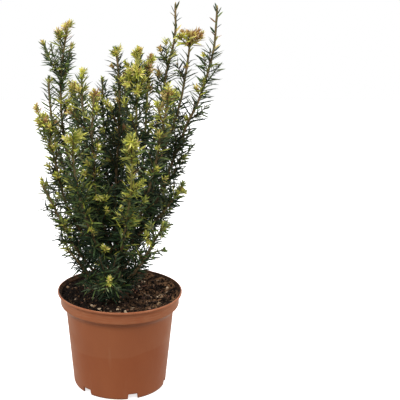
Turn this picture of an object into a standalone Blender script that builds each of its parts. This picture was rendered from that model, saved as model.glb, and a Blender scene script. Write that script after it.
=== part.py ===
# A young English yew, many-stemmed and upright, in a round plastic nursery pot.
# Metres, +Z up, the front of the plant towards -Y, the origin on the ground under the pot's middle.
# Each stem is a cubic curve from its parent limb to its tip. Its lower share is a bough, and the rest
# is the stem of one mass of foliage, which carries side shoots and needles that keep to its own space.

import bpy
import bmesh
import numpy as np
from mathutils import Matrix

GAP = 0.0003                    # clearance between touching solids
SEED = 11
CURVE_POINTS = 2400             # points along a stem's whole curve, for placing its cut ends
STEM_POINTS = 120               # points kept along each mass's own stem

# Pot
POT_SIDES = 40
LIP_RADIUS = 0.0950
POT_HEIGHT = 0.1494
LIP_DEPTH = 0.0034
COLLAR_RADIUS = 0.0906
COLLAR_FOOT = 0.1330            # height at which the collar starts to curve in
BODY_TOP_RADIUS = 0.0817
BODY_TOP = 0.1215
FOOT_RADIUS = 0.0708
WALL = 0.0019
FLOOR_UNDERSIDE = 0.0085        # the floor is raised between the foot ring and the centre disc
DISC_RADIUS = 0.0520
NOTCH_COUNT = 6
NOTCH_FIRST = 16                # degrees from the front, towards +X
NOTCH_WIDTH = 0.0150
NOTCH_HEIGHT = 0.0080

# Potting soil
SOIL_LEVEL = 0.1392
SOIL_TILT = 0.0022              # rise from the middle to the right wall
SOIL_LUMP = 0.0013
SOIL_COLLAR = 0.0175            # flat round the trunk out to here

# Trunk and boughs
TRUNK_FOOT = (-0.0050, -0.0060, SOIL_LEVEL + GAP)
TRUNK_TOP = (-0.0075, 0.0030, 0.2500)
TRUNK_RADIUS = 0.0068
TRUNK_TOP_RADIUS = 0.0027
FLARE = 0.0042                  # extra radius of the root flare at the cut
FLARE_HEIGHT = 0.0110
TRUNK_SIDES = 8
BOUGH_SIDES = 6
BOUGH_RADIUS = 0.0030
BOUGH_END_RADIUS = 0.0021

# Foliage
STEM_RADIUS = 0.0019
STEM_TIP_RADIUS = 0.0009
SHOOT_RADIUS = 0.0011
SHOOT_TIP_RADIUS = 0.0006
TWIG_SIDES = 3
STEM_PITCH = 0.0135             # length of stem for each whorl of needles
SHOOT_PITCH = 0.0125            # length of shoot for each pair of needles
NEEDLE_LENGTH = 0.0250
NEEDLE_ANGLE = 50               # degrees from the stem
TWIST = 50                      # degrees between one whorl and the next
SHOOT_EVERY = 2                 # whorls from one side shoot to the next
SHOOT_ANGLE = 47
SHOOT_ROLL = 45                 # degrees either way that a shoot's two ranks are rolled from level
SHOOT_TOP = 0.80                # share of the leader above which no side shoot leaves it
SHOOT_LIFT = 2.2                # how fast a side shoot turns upwards, per metre
GOLDEN_ANGLE = 137.5
OWN_MARGIN = 0.0011             # how much nearer its own stem every point of a mass lies
SHORTEST_SHOOT = 0.0170
SHOOT_FALL = 0.45               # share of a side shoot's length lost by the tip of its leader
SHOOT_TRIES = (0, 45, -45, 90, -90)     # degrees from the golden angle, until one has room

# name: (parent limb, share along it, tip, degrees of rise at the root, lean of the tip in x and y per
# unit of height, share of the stem that is bough, longest side shoot)
STEMS = {
    "centre_tall":    ("trunk", 1.00, (-0.007, 0.020, 0.515), 88, (-0.16, 0.00), 0.00, 0.050),
    "left_tall":      ("trunk", 0.42, (-0.072, 0.015, 0.551), 54, (0.24, 0.00), 0.20, 0.085),
    "left_outer":     ("trunk", 0.30, (-0.110, -0.015, 0.424), 50, (0.02, 0.00), 0.20, 0.022),
    "left_spire":     ("left_outer", 0.80, (-0.104, 0.030, 0.471), 66, (0.02, 0.05), 0.00, 0.030),
    "left_low":       ("trunk", 0.12, (-0.114, -0.030, 0.326), 34, (-0.50, 0.00), 0.16, 0.035),
    "front_left":     ("trunk", 0.24, (-0.064, -0.080, 0.402), 54, (0.02, -0.05), 0.16, 0.055),
    "mid_left":       ("left_tall", 0.75, (-0.046, -0.015, 0.487), 80, (0.10, 0.00), 0.00, 0.045),
    "centre_left":    ("trunk", 0.60, (-0.040, -0.040, 0.461), 56, (0.00, -0.05), 0.14, 0.050),
    "centre_inner":   ("trunk", 0.90, (-0.026, 0.055, 0.467), 60, (0.00, 0.05), 0.00, 0.045),
    "centre_right":   ("trunk", 0.73, (0.026, -0.025, 0.519), 62, (0.06, 0.00), 0.16, 0.050),
    "centre_golden":  ("centre_right", 0.80, (0.044, 0.000, 0.506), 62, (0.12, 0.00), 0.00, 0.045),
    "front_centre":   ("trunk", 0.36, (0.016, -0.088, 0.404), 54, (-0.04, -0.05), 0.16, 0.055),
    "right_tall":     ("trunk", 0.46, (0.133, -0.015, 0.571), 56, (0.02, 0.00), 0.22, 0.042),
    "right_mid":      ("right_tall", 0.85, (0.099, 0.010, 0.542), 74, (0.14, 0.00), 0.00, 0.045),
    "right_inner":    ("trunk", 0.80, (0.079, 0.020, 0.575), 60, (0.12, 0.00), 0.12, 0.042),
    "right_golden":   ("trunk", 0.60, (0.071, -0.045, 0.462), 50, (0.22, 0.00), 0.16, 0.045),
    "right_side":     ("right_tall", 0.50, (0.092, -0.032, 0.318), 36, (0.80, 0.00), 0.00, 0.035),
    "right_low":      ("trunk", 0.16, (0.066, -0.062, 0.274), 30, (0.60, -0.20), 0.16, 0.035),
    "back_left":      ("trunk", 0.50, (-0.070, 0.088, 0.457), 50, (-0.05, 0.10), 0.16, 0.055),
    "back_centre":    ("trunk", 0.72, (0.008, 0.102, 0.472), 50, (0.00, 0.10), 0.14, 0.055),
    "back_right":     ("trunk", 0.54, (0.085, 0.078, 0.447), 44, (0.10, 0.10), 0.16, 0.055),
    "back_left_low":  ("trunk", 0.20, (-0.088, 0.064, 0.314), 34, (-0.50, 0.30), 0.16, 0.045),
    "back_right_low": ("trunk", 0.26, (0.076, 0.084, 0.302), 34, (0.40, 0.50), 0.16, 0.045),
    "foot_front":     ("trunk", 0.06, (-0.016, -0.060, 0.186), 10, (0.20, -0.80), 0.00, 0.040),
    "foot_left":      ("trunk", 0.05, (-0.080, -0.030, 0.226), 20, (-0.80, -0.20), 0.00, 0.040),
    "foot_right":     ("trunk", 0.07, (0.050, -0.020, 0.226), 38, (0.60, -0.20), 0.00, 0.035),
    "foot_back":      ("trunk", 0.06, (0.004, 0.066, 0.210), 18, (0.00, 0.90), 0.00, 0.040),
}

COLOURS = {
    "terracotta": (0.300, 0.110, 0.055, 1.0),
    "soil": (0.022, 0.013, 0.009, 1.0),
    "bark": (0.110, 0.070, 0.045, 1.0),
    "needles": (0.060, 0.095, 0.022, 1.0),
}


def material(name, colour, roughness):
    made = bpy.data.materials.new(name)
    made.use_nodes = True
    shader = made.node_tree.nodes["Principled BSDF"]
    shader.inputs["Base Color"].default_value = colour
    shader.inputs["Roughness"].default_value = roughness
    shader.inputs["Metallic"].default_value = 0.0
    return made


def add_object(name, points, faces, finish=None, smooth_angle=None):
    mesh = bpy.data.meshes.new(name)
    mesh.from_pydata([tuple(point) for point in points], [], [tuple(face) for face in faces])
    made = bmesh.new()
    made.from_mesh(mesh)
    if faces:
        bmesh.ops.recalc_face_normals(made, faces=made.faces[:])
    made.to_mesh(mesh)
    made.free()
    if smooth_angle is not None:
        mesh.shade_smooth()
        mesh.set_sharp_from_angle(angle=np.radians(smooth_angle))
    obj = bpy.data.objects.new(name, mesh)
    if finish is not None:
        mesh.materials.append(finish)
    bpy.context.scene.collection.objects.link(obj)
    return obj


def unit(vector):
    return vector / np.linalg.norm(vector, axis=-1, keepdims=True)


# Pot: one profile turned round the axis, with notches cut through its foot ring

def pot_inner_profile():
    """Radius and height along the inside, from the middle of the floor up to under the lip."""
    floor = FLOOR_UNDERSIDE + WALL
    slope = (BODY_TOP_RADIUS - FOOT_RADIUS) / BODY_TOP
    return [
        (DISC_RADIUS - WALL, WALL),
        (DISC_RADIUS, floor),
        (FOOT_RADIUS + slope * floor - WALL, floor),
        (BODY_TOP_RADIUS - WALL, BODY_TOP),
        (COLLAR_RADIUS - WALL - 0.0016, COLLAR_FOOT - 0.0040),
        (COLLAR_RADIUS - WALL, COLLAR_FOOT + 0.0010),
        (COLLAR_RADIUS - WALL, POT_HEIGHT - LIP_DEPTH - 0.0010),
    ]


def pot_profile():
    inner = [(0.0, WALL)] + pot_inner_profile()
    lip = [
        (LIP_RADIUS - 0.0027, POT_HEIGHT - 0.0014),
        (LIP_RADIUS - 0.0020, POT_HEIGHT),
        (LIP_RADIUS - 0.0007, POT_HEIGHT),
        (LIP_RADIUS, POT_HEIGHT - 0.0009),
        (LIP_RADIUS - 0.0001, POT_HEIGHT - LIP_DEPTH),
        (COLLAR_RADIUS, POT_HEIGHT - LIP_DEPTH - 0.0006),
    ]
    outer = [
        (COLLAR_RADIUS, COLLAR_FOOT),
        (COLLAR_RADIUS - 0.0018, COLLAR_FOOT - 0.0045),
        (BODY_TOP_RADIUS + 0.0022, BODY_TOP + 0.0022),
        (BODY_TOP_RADIUS, BODY_TOP),
        (FOOT_RADIUS + 0.0003, 0.0030),
        (FOOT_RADIUS - 0.0008, 0.0),
        (FOOT_RADIUS - 0.0024, 0.0),
        (FOOT_RADIUS - 0.0028, FLOOR_UNDERSIDE),
        (DISC_RADIUS + WALL, FLOOR_UNDERSIDE),
        (DISC_RADIUS, 0.0),
        (0.0, 0.0),
    ]
    return inner + lip + outer


def make_notch_cutters():
    """Boxes across the foot ring, evenly spaced round it."""
    cutters = bmesh.new()
    size = (NOTCH_WIDTH, 0.0120, NOTCH_HEIGHT + 0.0050)
    for index in range(NOTCH_COUNT):
        turn = Matrix.Rotation(np.radians(NOTCH_FIRST + 360 / NOTCH_COUNT * index), 4, "Z")
        place = Matrix.Translation((0.0, -FOOT_RADIUS, (NOTCH_HEIGHT - 0.0050) / 2))
        shape = Matrix.Diagonal(size + (1.0,))
        bmesh.ops.create_cube(cutters, size=1.0, matrix=turn @ place @ shape)
    mesh = bpy.data.meshes.new("notch_cutters")
    cutters.to_mesh(mesh)
    cutters.free()
    obj = bpy.data.objects.new("notch_cutters", mesh)
    obj.hide_render = True
    obj.display_type = "WIRE"
    bpy.context.scene.collection.objects.link(obj)
    return obj


def make_pot(finish):
    profile = [(radius, 0.0, height) for radius, height in pot_profile()]
    mesh = bpy.data.meshes.new("pot")
    mesh.from_pydata(profile, [(i, i + 1) for i in range(len(profile) - 1)], [])
    mesh.materials.append(finish)
    pot = bpy.data.objects.new("pot", mesh)
    bpy.context.scene.collection.objects.link(pot)
    turn = pot.modifiers.new("turn", "SCREW")
    turn.axis = "Z"
    turn.angle = 2 * np.pi
    turn.steps = POT_SIDES
    turn.render_steps = POT_SIDES
    turn.use_merge_vertices = True
    turn.merge_threshold = 0.00005
    turn.use_smooth_shade = True
    notches = pot.modifiers.new("notches", "BOOLEAN")
    notches.operation = "DIFFERENCE"
    notches.solver = "EXACT"
    notches.object = make_notch_cutters()
    return pot


# Soil: fills the pot to its own uneven top, flat round the trunk

def soil_height(x, y):
    reach = np.hypot(x - TRUNK_FOOT[0], y - TRUNK_FOOT[1])
    away = np.clip((reach - SOIL_COLLAR) / 0.018, 0.0, 1.0)
    lumps = np.sin(71 * x + 40 * y) + np.sin(118 * y - 52 * x + 1.3) + np.sin(97 * x + 2.1)
    return SOIL_LEVEL + away * (SOIL_TILT * x / COLLAR_RADIUS + SOIL_LUMP * lumps / 1.6)


def make_soil(finish):
    angles = 2 * np.pi * np.arange(POT_SIDES) / POT_SIDES
    circle = np.stack([np.cos(angles), np.sin(angles), 0 * angles], axis=1)
    edge = COLLAR_RADIUS - WALL - GAP
    foot = np.array(TRUNK_FOOT)
    rings = []
    for radius, height in pot_inner_profile()[:-1]:
        inset = np.array([radius - GAP, radius - GAP, 0.0])
        rings.append(circle * inset + [0, 0, height + GAP])
    for share in (1.0, 0.84, 0.66, 0.48, 0.32, 0.19):
        ring = circle * edge * share + foot * [1, 1, 0] * (1 - share ** 2)
        ring[:, 2] = soil_height(ring[:, 0], ring[:, 1])
        rings.append(ring)
    points = np.concatenate(rings + [[[0, 0, WALL + GAP], [foot[0], foot[1], SOIL_LEVEL]]])
    count = len(rings)
    faces = []
    for side in range(POT_SIDES):
        after = (side + 1) % POT_SIDES
        faces.append((count * POT_SIDES, side, after))
        faces.append((count * POT_SIDES + 1, (count - 1) * POT_SIDES + after, (count - 1) * POT_SIDES + side))
        for ring in range(count - 1):
            low = ring * POT_SIDES
            high = low + POT_SIDES
            faces.append((low + side, low + after, high + after))
            faces.append((low + side, high + after, high + side))
    return add_object("potting_soil", points, faces, finish, smooth_angle=50)


# Stems: curves, and solids carried along them

def curve_between(root, tip, first, last, count):
    """A cubic curve that leaves root along first and arrives at tip along last, evenly spaced."""
    span = np.linalg.norm(tip - root)
    share = np.linspace(0, 1, count)[:, None]
    inner = root + first * 0.36 * span
    outer = tip - last * 0.34 * span
    curve = (1 - share) ** 3 * root + 3 * (1 - share) ** 2 * share * inner
    curve = curve + 3 * (1 - share) * share ** 2 * outer + share ** 3 * tip
    return resample(curve, count)


def resample(curve, count):
    steps = np.linalg.norm(np.diff(curve, axis=0), axis=1)
    reached = np.concatenate([[0], np.cumsum(steps)])
    wanted = np.linspace(0, reached[-1], count)
    return np.stack([np.interp(wanted, reached, curve[:, axis]) for axis in range(3)], axis=1)


def length_of(curve):
    return np.linalg.norm(np.diff(curve, axis=0), axis=1).sum()


def frames_along(curve, side=(0.0, 0.0, 1.0)):
    """The tangent, and two directions square to it that turn as little as they can."""
    tangent = unit(np.gradient(curve, axis=0))
    across = np.cross(side, tangent[0])
    if np.linalg.norm(across) < 0.05:
        across = np.cross((0.0, 1.0, 0.0), tangent[0])
    first = []
    for direction in tangent:
        across = unit(across - direction * np.dot(across, direction))
        first.append(across)
    first = np.array(first)
    return tangent, first, np.cross(tangent, first)


def rings_along(curve, radii, sides, turn):
    tangent, first, second = frames_along(curve)
    corner = (np.arange(sides) - 0.5) * 2 * np.pi / sides
    angle = corner[None, :] + np.asarray(turn)[:, None]
    out = np.cos(angle)[..., None] * first[:, None] + np.sin(angle)[..., None] * second[:, None]
    return curve[:, None] + out * np.asarray(radii)[:, None, None]


def make_limb(name, curve, radii, sides, finish, level_foot=False):
    """A tapering limb with a flat cut at each end, and a level one where it stands on the ground."""
    rings = rings_along(curve, radii, sides, np.zeros(len(curve)))
    if level_foot:
        rings[0, :, 2] = curve[0, 2]
    points = rings.reshape(-1, 3)
    faces = [tuple(range(sides)), tuple(len(points) - 1 - i for i in range(sides))]
    for ring in range(len(curve) - 1):
        for side in range(sides):
            low = ring * sides + side
            low_after = ring * sides + (side + 1) % sides
            faces.append((low, low_after, low_after + sides, low + sides))
    return add_object(name, points, faces, finish, smooth_angle=50)


def needled_solid(curve, radii, turn, needle_tips):
    """A three-sided stem. Each face with a needle rises to that needle's tip, the others are flat."""
    rings = rings_along(curve, radii, TWIG_SIDES, turn)
    points = list(rings.reshape(-1, 3))
    end_direction = unit(curve[-1] - curve[-2])
    points.append(curve[-1] + end_direction * NEEDLE_LENGTH * 0.45)
    end = len(points) - 1
    faces = [(2, 1, 0)]
    for ring in range(len(curve) - 1):
        for side in range(TWIG_SIDES):
            low = ring * TWIG_SIDES + side
            low_after = ring * TWIG_SIDES + (side + 1) % TWIG_SIDES
            corners = (low, low_after, low_after + TWIG_SIDES, low + TWIG_SIDES)
            tip = needle_tips.get((ring, side))
            if tip is None:
                faces.append(corners[:3])
                faces.append((corners[0], corners[2], corners[3]))
                continue
            points.append(tip)
            for index in range(4):
                faces.append((corners[index], corners[(index + 1) % 4], len(points) - 1))
    last = (len(curve) - 1) * TWIG_SIDES
    for side in range(TWIG_SIDES):
        faces.append((last + side, last + (side + 1) % TWIG_SIDES, end))
    return points, faces


def beyond_cut(curve, cut):
    """The rest of a curve from just clear of the cut end of the limb that it goes on from."""
    start = curve[cut] + unit(curve[cut + 1] - curve[cut]) * GAP
    rest = curve[cut + 1 + int(np.ceil(GAP / np.linalg.norm(curve[cut + 1] - curve[cut]))):]
    return resample(np.vstack([start, rest]), STEM_POINTS)


class Crown:
    """The axes of every limb and stem, and which space belongs to which mass."""

    def __init__(self):
        self.limbs = {}
        self.stems = {}

    def clear_start(self, curve, radius, sides, parent):
        """The first point of the curve at which a stem's cut end stands clear of its parent limb."""
        axis, radii = self.limbs[parent]
        near = len(curve) // 4
        tangent = unit(np.gradient(curve, axis=0))[:near]
        across = unit(np.cross((0.0, 0.0, 1.0), tangent))
        over = np.cross(tangent, across)
        corner = (np.arange(sides) - 0.5) * 2 * np.pi / sides
        out = np.cos(corner)[:, None] * across[:, None] + np.sin(corner)[:, None] * over[:, None]
        rim = curve[:near, None] + radius * out
        rim = np.concatenate([rim, (rim + np.roll(rim, 1, axis=1)) / 2], axis=1)
        gaps = np.linalg.norm(rim[:, :, None] - axis, axis=3) - radii
        return int(np.argmax(gaps.min(axis=(1, 2)) >= GAP + 0.0001))

    def free(self, points, owner, room):
        """True where a point with that much room round it lies in its owner's space, clear of limbs."""
        points = np.atleast_2d(points)
        own = np.linalg.norm(points[:, None] - self.stems[owner][None], axis=2).min(axis=1)
        good = np.ones(len(points), bool)
        for name, axis in self.stems.items():
            if name != owner:
                other = np.linalg.norm(points[:, None] - axis[None], axis=2).min(axis=1)
                good &= own + OWN_MARGIN + room < other
        for axis, radii in self.limbs.values():
            gap = (np.linalg.norm(points[:, None] - axis[None], axis=2) - radii[None]).min(axis=1)
            good &= gap > 0.0008 + room
        good &= points[:, 2] - room > soil_height(points[:, 0], points[:, 1]) + 0.0012
        wall = np.hypot(points[:, 0], points[:, 1])
        good &= (points[:, 2] > POT_HEIGHT + 0.002) | (wall < COLLAR_RADIUS - WALL - 0.002)
        return good


def plan_crown():
    crown = Crown()
    foot = np.array(TRUNK_FOOT)
    top = np.array(TRUNK_TOP)
    trunk = np.linspace(foot, top, 60)
    up = np.linspace(0, 1, 60)
    radii = TRUNK_RADIUS + (TRUNK_TOP_RADIUS - TRUNK_RADIUS) * up ** 0.8
    radii = radii + FLARE * np.exp(-(trunk[:, 2] - foot[2]) / FLARE_HEIGHT)
    crown.limbs["trunk"] = (trunk, radii)
    for name, (parent, share, tip, rise, lean, bough, spread) in STEMS.items():
        axis, parent_radii = crown.limbs[parent]
        root = axis[int(round(share * (len(axis) - 1)))]
        tip = np.array(tip)
        ahead = (tip - root) * [1, 1, 0]
        first = unit(ahead) * np.cos(np.radians(rise)) + np.array([0, 0, np.sin(np.radians(rise))])
        if share == 1.0:
            first = unit(axis[-1] - axis[-2])
        last = unit(np.array([lean[0], lean[1], 1.0]))
        tip = tip - last * NEEDLE_LENGTH * 0.5
        curve = curve_between(root, tip, first, last, CURVE_POINTS)
        if share == 1.0:
            crown.stems[name] = beyond_cut(curve, 0)
        elif bough > 0:
            start = crown.clear_start(curve, BOUGH_RADIUS, BOUGH_SIDES, parent)
            split = int(bough * CURVE_POINTS)
            limb = resample(curve[start:split + 1], 40)
            crown.limbs[name] = (limb, np.linspace(BOUGH_RADIUS, BOUGH_END_RADIUS, 40))
            crown.stems[name] = beyond_cut(curve, split)
        else:
            start = crown.clear_start(curve, STEM_RADIUS, TWIG_SIDES, parent)
            crown.stems[name] = resample(curve[start:], STEM_POINTS)
    return crown


# Foliage: a leading stem with needles all round, and flat side shoots fused to it

def needle_at(centre, out, along, length, angle):
    return centre + out * length * np.sin(angle) + along * length * np.cos(angle)


def grow_leader(crown, name, random, shoot_faces):
    axis = crown.stems[name]
    count = max(2, int(round(length_of(axis) / STEM_PITCH)))
    curve = resample(axis, count + 1)
    radii = np.linspace(STEM_RADIUS, STEM_TIP_RADIUS, count + 1)
    turn = np.radians(TWIST) * np.arange(count + 1)
    rings = rings_along(curve, radii, TWIG_SIDES, turn)
    tips = {}
    for ring in range(count):
        along = unit(curve[ring + 1] - curve[ring])
        centre = (curve[ring] + curve[ring + 1]) / 2
        for side in range(TWIG_SIDES):
            after = (side + 1) % TWIG_SIDES
            face = rings[ring, side] + rings[ring, after] + rings[ring + 1, side] + rings[ring + 1, after]
            out = face / 4 - centre
            out = unit(out - along * np.dot(out, along))
            length = NEEDLE_LENGTH * random.uniform(0.82, 1.10)
            angle = np.radians(NEEDLE_ANGLE + random.uniform(-8, 8) - 18 * (ring / count) ** 3)
            tip = needle_at(centre, out, along, length, angle)
            samples = centre + np.array([[0.35], [0.7], [1.0]]) * (tip - centre)
            if (ring, side) not in shoot_faces and crown.free(samples, name, 0.0).all():
                tips[(ring, side)] = tip
    return needled_solid(curve, radii, turn, tips)


def grow_shoot(crown, name, root, along, out, length, random):
    """A flat side shoot: its axis bends upwards, and its needles stand in two ranks."""
    angle = np.radians(SHOOT_ANGLE + random.uniform(-6, 6))
    direction = along * np.cos(angle) + out * np.sin(angle)
    reach = np.linspace(0, length, 24)[:, None]
    axis = root + direction * reach + np.array([0, 0, SHOOT_LIFT]) * reach ** 2
    good = crown.free(axis[4:], name, SHOOT_RADIUS)
    fits = len(good) if good.all() else int(np.argmin(good))
    axis = axis[:fits + 4]
    if length_of(axis) < SHORTEST_SHOOT:
        return None
    count = max(2, int(round(length_of(axis) / SHOOT_PITCH)))
    curve = resample(axis, count + 1)
    radii = np.linspace(SHOOT_RADIUS, SHOOT_TIP_RADIUS, count + 1)
    tangent, first, second = frames_along(curve)
    roll = np.radians(SHOOT_ROLL) * random.choice((-1, 1))
    rank = np.cos(roll) * first + np.sin(roll) * second
    tips = {}
    for ring in range(1, count):
        centre = (curve[ring] + curve[ring + 1]) / 2
        for side, sense in ((0, 1), (1, -1)):
            needle = NEEDLE_LENGTH * random.uniform(0.78, 1.02) * (1 - 0.25 * ring / count)
            tip = needle_at(centre, rank[ring] * sense, tangent[ring], needle, np.radians(58))
            samples = centre + np.array([[0.35], [0.7], [1.0]]) * (tip - centre)
            if crown.free(samples, name, 0.0).all():
                tips[(ring, side)] = tip
    return needled_solid(curve, radii, np.full(count + 1, roll), tips)


def side_shoots(crown, name, spread, random):
    """Shoots at even steps up the leader, each turned by the golden angle, shorter towards the tip."""
    axis = crown.stems[name]
    count = max(2, int(round(length_of(axis) / STEM_PITCH)))
    curve = resample(axis, count + 1)
    tangent, first, second = frames_along(curve)
    shoots = []
    faces = set()
    azimuth = random.uniform(0, 2 * np.pi)
    for ring in range(0, int(count * SHOOT_TOP), SHOOT_EVERY):
        azimuth += np.radians(GOLDEN_ANGLE)
        root = (curve[ring] + curve[ring + 1]) / 2
        length = spread * (1 - SHOOT_FALL * ring / count) * random.uniform(0.85, 1.1)
        for turned in SHOOT_TRIES:
            angle = azimuth + np.radians(turned)
            out = np.cos(angle) * first[ring] + np.sin(angle) * second[ring]
            solid = grow_shoot(crown, name, root, tangent[ring], out, length, random)
            if solid is not None:
                shoots.append(solid)
                side = round((angle - np.radians(TWIST) * (ring + 0.5)) * TWIG_SIDES / (2 * np.pi))
                faces.add((ring, int(side) % TWIG_SIDES))
                break
    return shoots, faces


def largest_shell(obj):
    """Keeps the biggest connected body, which drops loose scraps and fills sealed hollows."""
    mesh = bmesh.new()
    mesh.from_mesh(obj.data)
    left = set(mesh.verts)
    shells = []
    while left:
        shell = {left.pop()}
        edge = list(shell)
        while edge:
            for link in edge.pop().link_edges:
                for vert in link.verts:
                    if vert in left:
                        left.remove(vert)
                        shell.add(vert)
                        edge.append(vert)
        shells.append(shell)
    shells.sort(key=len, reverse=True)
    for shell in shells[1:]:
        bmesh.ops.delete(mesh, geom=list(shell), context="VERTS")
    bmesh.ops.triangulate(mesh, faces=mesh.faces[:])
    mesh.to_mesh(obj.data)
    mesh.free()


def make_mass(crown, name, spread, finish):
    random = np.random.default_rng([SEED, sorted(STEMS).index(name)])
    shoots, faces = side_shoots(crown, name, spread, random)
    leader = add_object("foliage_" + name, *grow_leader(crown, name, random, faces), finish)
    group = bpy.data.collections.new("shoots")
    bpy.context.scene.collection.children.link(group)
    for points, shoot_faces in shoots:
        shoot = add_object("shoot", points, shoot_faces)
        bpy.context.scene.collection.objects.unlink(shoot)
        group.objects.link(shoot)
    union = leader.modifiers.new("shoots", "BOOLEAN")
    union.operation = "UNION"
    union.solver = "EXACT"
    union.operand_type = "COLLECTION"
    union.collection = group
    bpy.context.view_layer.update()
    graph = bpy.context.evaluated_depsgraph_get()
    joined = bpy.data.meshes.new_from_object(leader.evaluated_get(graph))
    leader.modifiers.clear()
    leader.data = joined
    for shoot in list(group.objects):
        bpy.data.objects.remove(shoot)
    bpy.data.collections.remove(group)
    largest_shell(leader)
    return leader


def main():
    for obj in list(bpy.data.objects):
        bpy.data.objects.remove(obj)
    terracotta = material("terracotta plastic", COLOURS["terracotta"], 0.48)
    soil = material("potting soil", COLOURS["soil"], 0.95)
    bark = material("yew bark", COLOURS["bark"], 0.80)
    needles = material("yew needles", COLOURS["needles"], 0.55)
    make_pot(terracotta)
    make_soil(soil)
    crown = plan_crown()
    for name, (axis, radii) in crown.limbs.items():
        rings = 9 if name == "trunk" else 7
        picked = np.linspace(0, len(axis) - 1, rings).round().astype(int)
        if name == "trunk":
            picked[1:4] = (2, 6, 14)
        label = "trunk" if name == "trunk" else "bough_" + name
        sides = TRUNK_SIDES if name == "trunk" else BOUGH_SIDES
        make_limb(label, axis[picked], radii[picked], sides, bark, level_foot=name == "trunk")
    for name, row in STEMS.items():
        make_mass(crown, name, row[-1], needles)


main()
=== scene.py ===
# A young English yew in a round nursery pot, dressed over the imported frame.
# Lengths are metres, +Z is up and the front of the plant faces -Y.
import math

import bpy
import numpy as np
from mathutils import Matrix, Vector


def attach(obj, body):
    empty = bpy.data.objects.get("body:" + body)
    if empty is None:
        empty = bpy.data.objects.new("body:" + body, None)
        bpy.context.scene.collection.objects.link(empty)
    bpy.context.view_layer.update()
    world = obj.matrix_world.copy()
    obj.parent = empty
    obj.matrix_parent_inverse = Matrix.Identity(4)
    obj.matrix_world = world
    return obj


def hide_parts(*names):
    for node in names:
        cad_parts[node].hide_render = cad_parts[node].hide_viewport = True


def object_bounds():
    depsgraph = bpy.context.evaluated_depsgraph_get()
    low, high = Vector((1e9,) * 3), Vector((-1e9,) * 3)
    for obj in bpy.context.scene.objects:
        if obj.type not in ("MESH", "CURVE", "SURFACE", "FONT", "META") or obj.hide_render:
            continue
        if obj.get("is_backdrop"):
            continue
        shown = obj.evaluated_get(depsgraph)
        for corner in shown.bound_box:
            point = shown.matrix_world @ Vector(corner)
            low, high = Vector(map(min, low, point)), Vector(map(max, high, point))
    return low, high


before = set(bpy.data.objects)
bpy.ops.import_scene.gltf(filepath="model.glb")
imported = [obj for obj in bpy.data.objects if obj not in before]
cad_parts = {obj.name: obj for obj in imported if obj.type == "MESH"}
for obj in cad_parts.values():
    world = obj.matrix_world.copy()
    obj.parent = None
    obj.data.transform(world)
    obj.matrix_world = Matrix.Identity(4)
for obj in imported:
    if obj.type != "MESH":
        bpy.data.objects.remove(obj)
cadLow, cadHigh = (np.array(corner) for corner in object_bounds())
nodeNames = sorted(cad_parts)
print("frame loaded,", len(nodeNames), "nodes")


# Arrays, meshes and materials that every piece uses

def unit(vectors):
    return vectors / np.linalg.norm(vectors, axis=-1, keepdims=True)


# Screen colour, 0 to 255, to the linear colour that a shader takes.
def linear(red, green, blue):
    share = np.array([red, green, blue]) / 255
    return (*np.where(share < 0.04, share / 12.92, ((share + 0.055) / 1.055) ** 2.4), 1.0)


# Value noise from -1 to 1: random heights on a cubic lattice, blended smoothly between its eight corners.
def lumps(points, cell, seed):
    heights = np.random.default_rng(seed).uniform(-1, 1, (32, 32, 32))
    scaled = points / np.asarray(cell)
    corner = np.floor(scaled).astype(int)
    part = scaled - corner
    part = part * part * (3 - 2 * part)
    total = 0.0
    for step in np.ndindex(2, 2, 2):
        share = np.where(np.array(step) == 1, part, 1 - part).prod(axis=-1)
        at = (corner + step) % 32
        total = total + share * heights[at[..., 0], at[..., 1], at[..., 2]]
    return total


# Arrays of corners and faces, put into a mesh object at the origin that rides with the plant.
def addPiece(name, points, faces, finishes, finishOf=None, replaced=(), smooth=True):
    mesh = bpy.data.meshes.new(name)
    faces = [np.asarray(rows) for rows in faces if len(rows)]
    corners = np.concatenate([rows.ravel() for rows in faces])
    sizes = np.concatenate([np.full(len(rows), rows.shape[1]) for rows in faces])
    mesh.vertices.add(len(points))
    mesh.vertices.foreach_set("co", np.asarray(points, np.float32).ravel())
    mesh.loops.add(len(corners))
    mesh.loops.foreach_set("vertex_index", corners.astype(np.int32))
    mesh.polygons.add(len(sizes))
    mesh.polygons.foreach_set("loop_start", (np.cumsum(sizes) - sizes).astype(np.int32))
    for material in finishes:
        mesh.materials.append(material)
    if finishOf is not None:
        mesh.polygons.foreach_set("material_index", finishOf.astype(np.int32))
    mesh.update(calc_edges=True)
    mesh.validate()
    mesh.polygons.foreach_set("use_smooth", np.full(len(mesh.polygons), smooth))
    piece = bpy.data.objects.new(name, mesh)
    bpy.context.scene.collection.objects.link(piece)
    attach(piece, "root")
    if replaced:
        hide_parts(*replaced)
    return piece


# A plain material: its colour, roughness and specular level.
def newMaterial(name, colour, roughness, specular=0.5):
    made = bpy.data.materials.new(name)
    made.use_nodes = True
    shader = made.node_tree.nodes["Principled BSDF"]
    shader.inputs["Base Color"].default_value = linear(*colour)
    shader.inputs["Roughness"].default_value = roughness
    shader.inputs["Specular IOR Level"].default_value = specular
    return made


# Plain materials of one kind, by the name of their tone.
def tonesOf(kind, roughness, specular, **colours):
    return [newMaterial(kind + tone, colour, roughness, specular) for tone, colour in colours.items()]


# A node whose inputs are given as values or as the sockets that feed them.
def addNode(material, kind, inputs=None, **settings):
    node = material.node_tree.nodes.new(kind)
    for key, value in settings.items():
        setattr(node, key, value)
    for key, value in (inputs or {}).items():
        if isinstance(value, bpy.types.NodeSocket):
            material.node_tree.links.new(value, node.inputs[key])
        else:
            node.inputs[key].default_value = value
    return node


# Feeds a socket into the shader.
def wire(material, socket, name):
    material.node_tree.links.new(socket, material.node_tree.nodes["Principled BSDF"].inputs[name])


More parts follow.
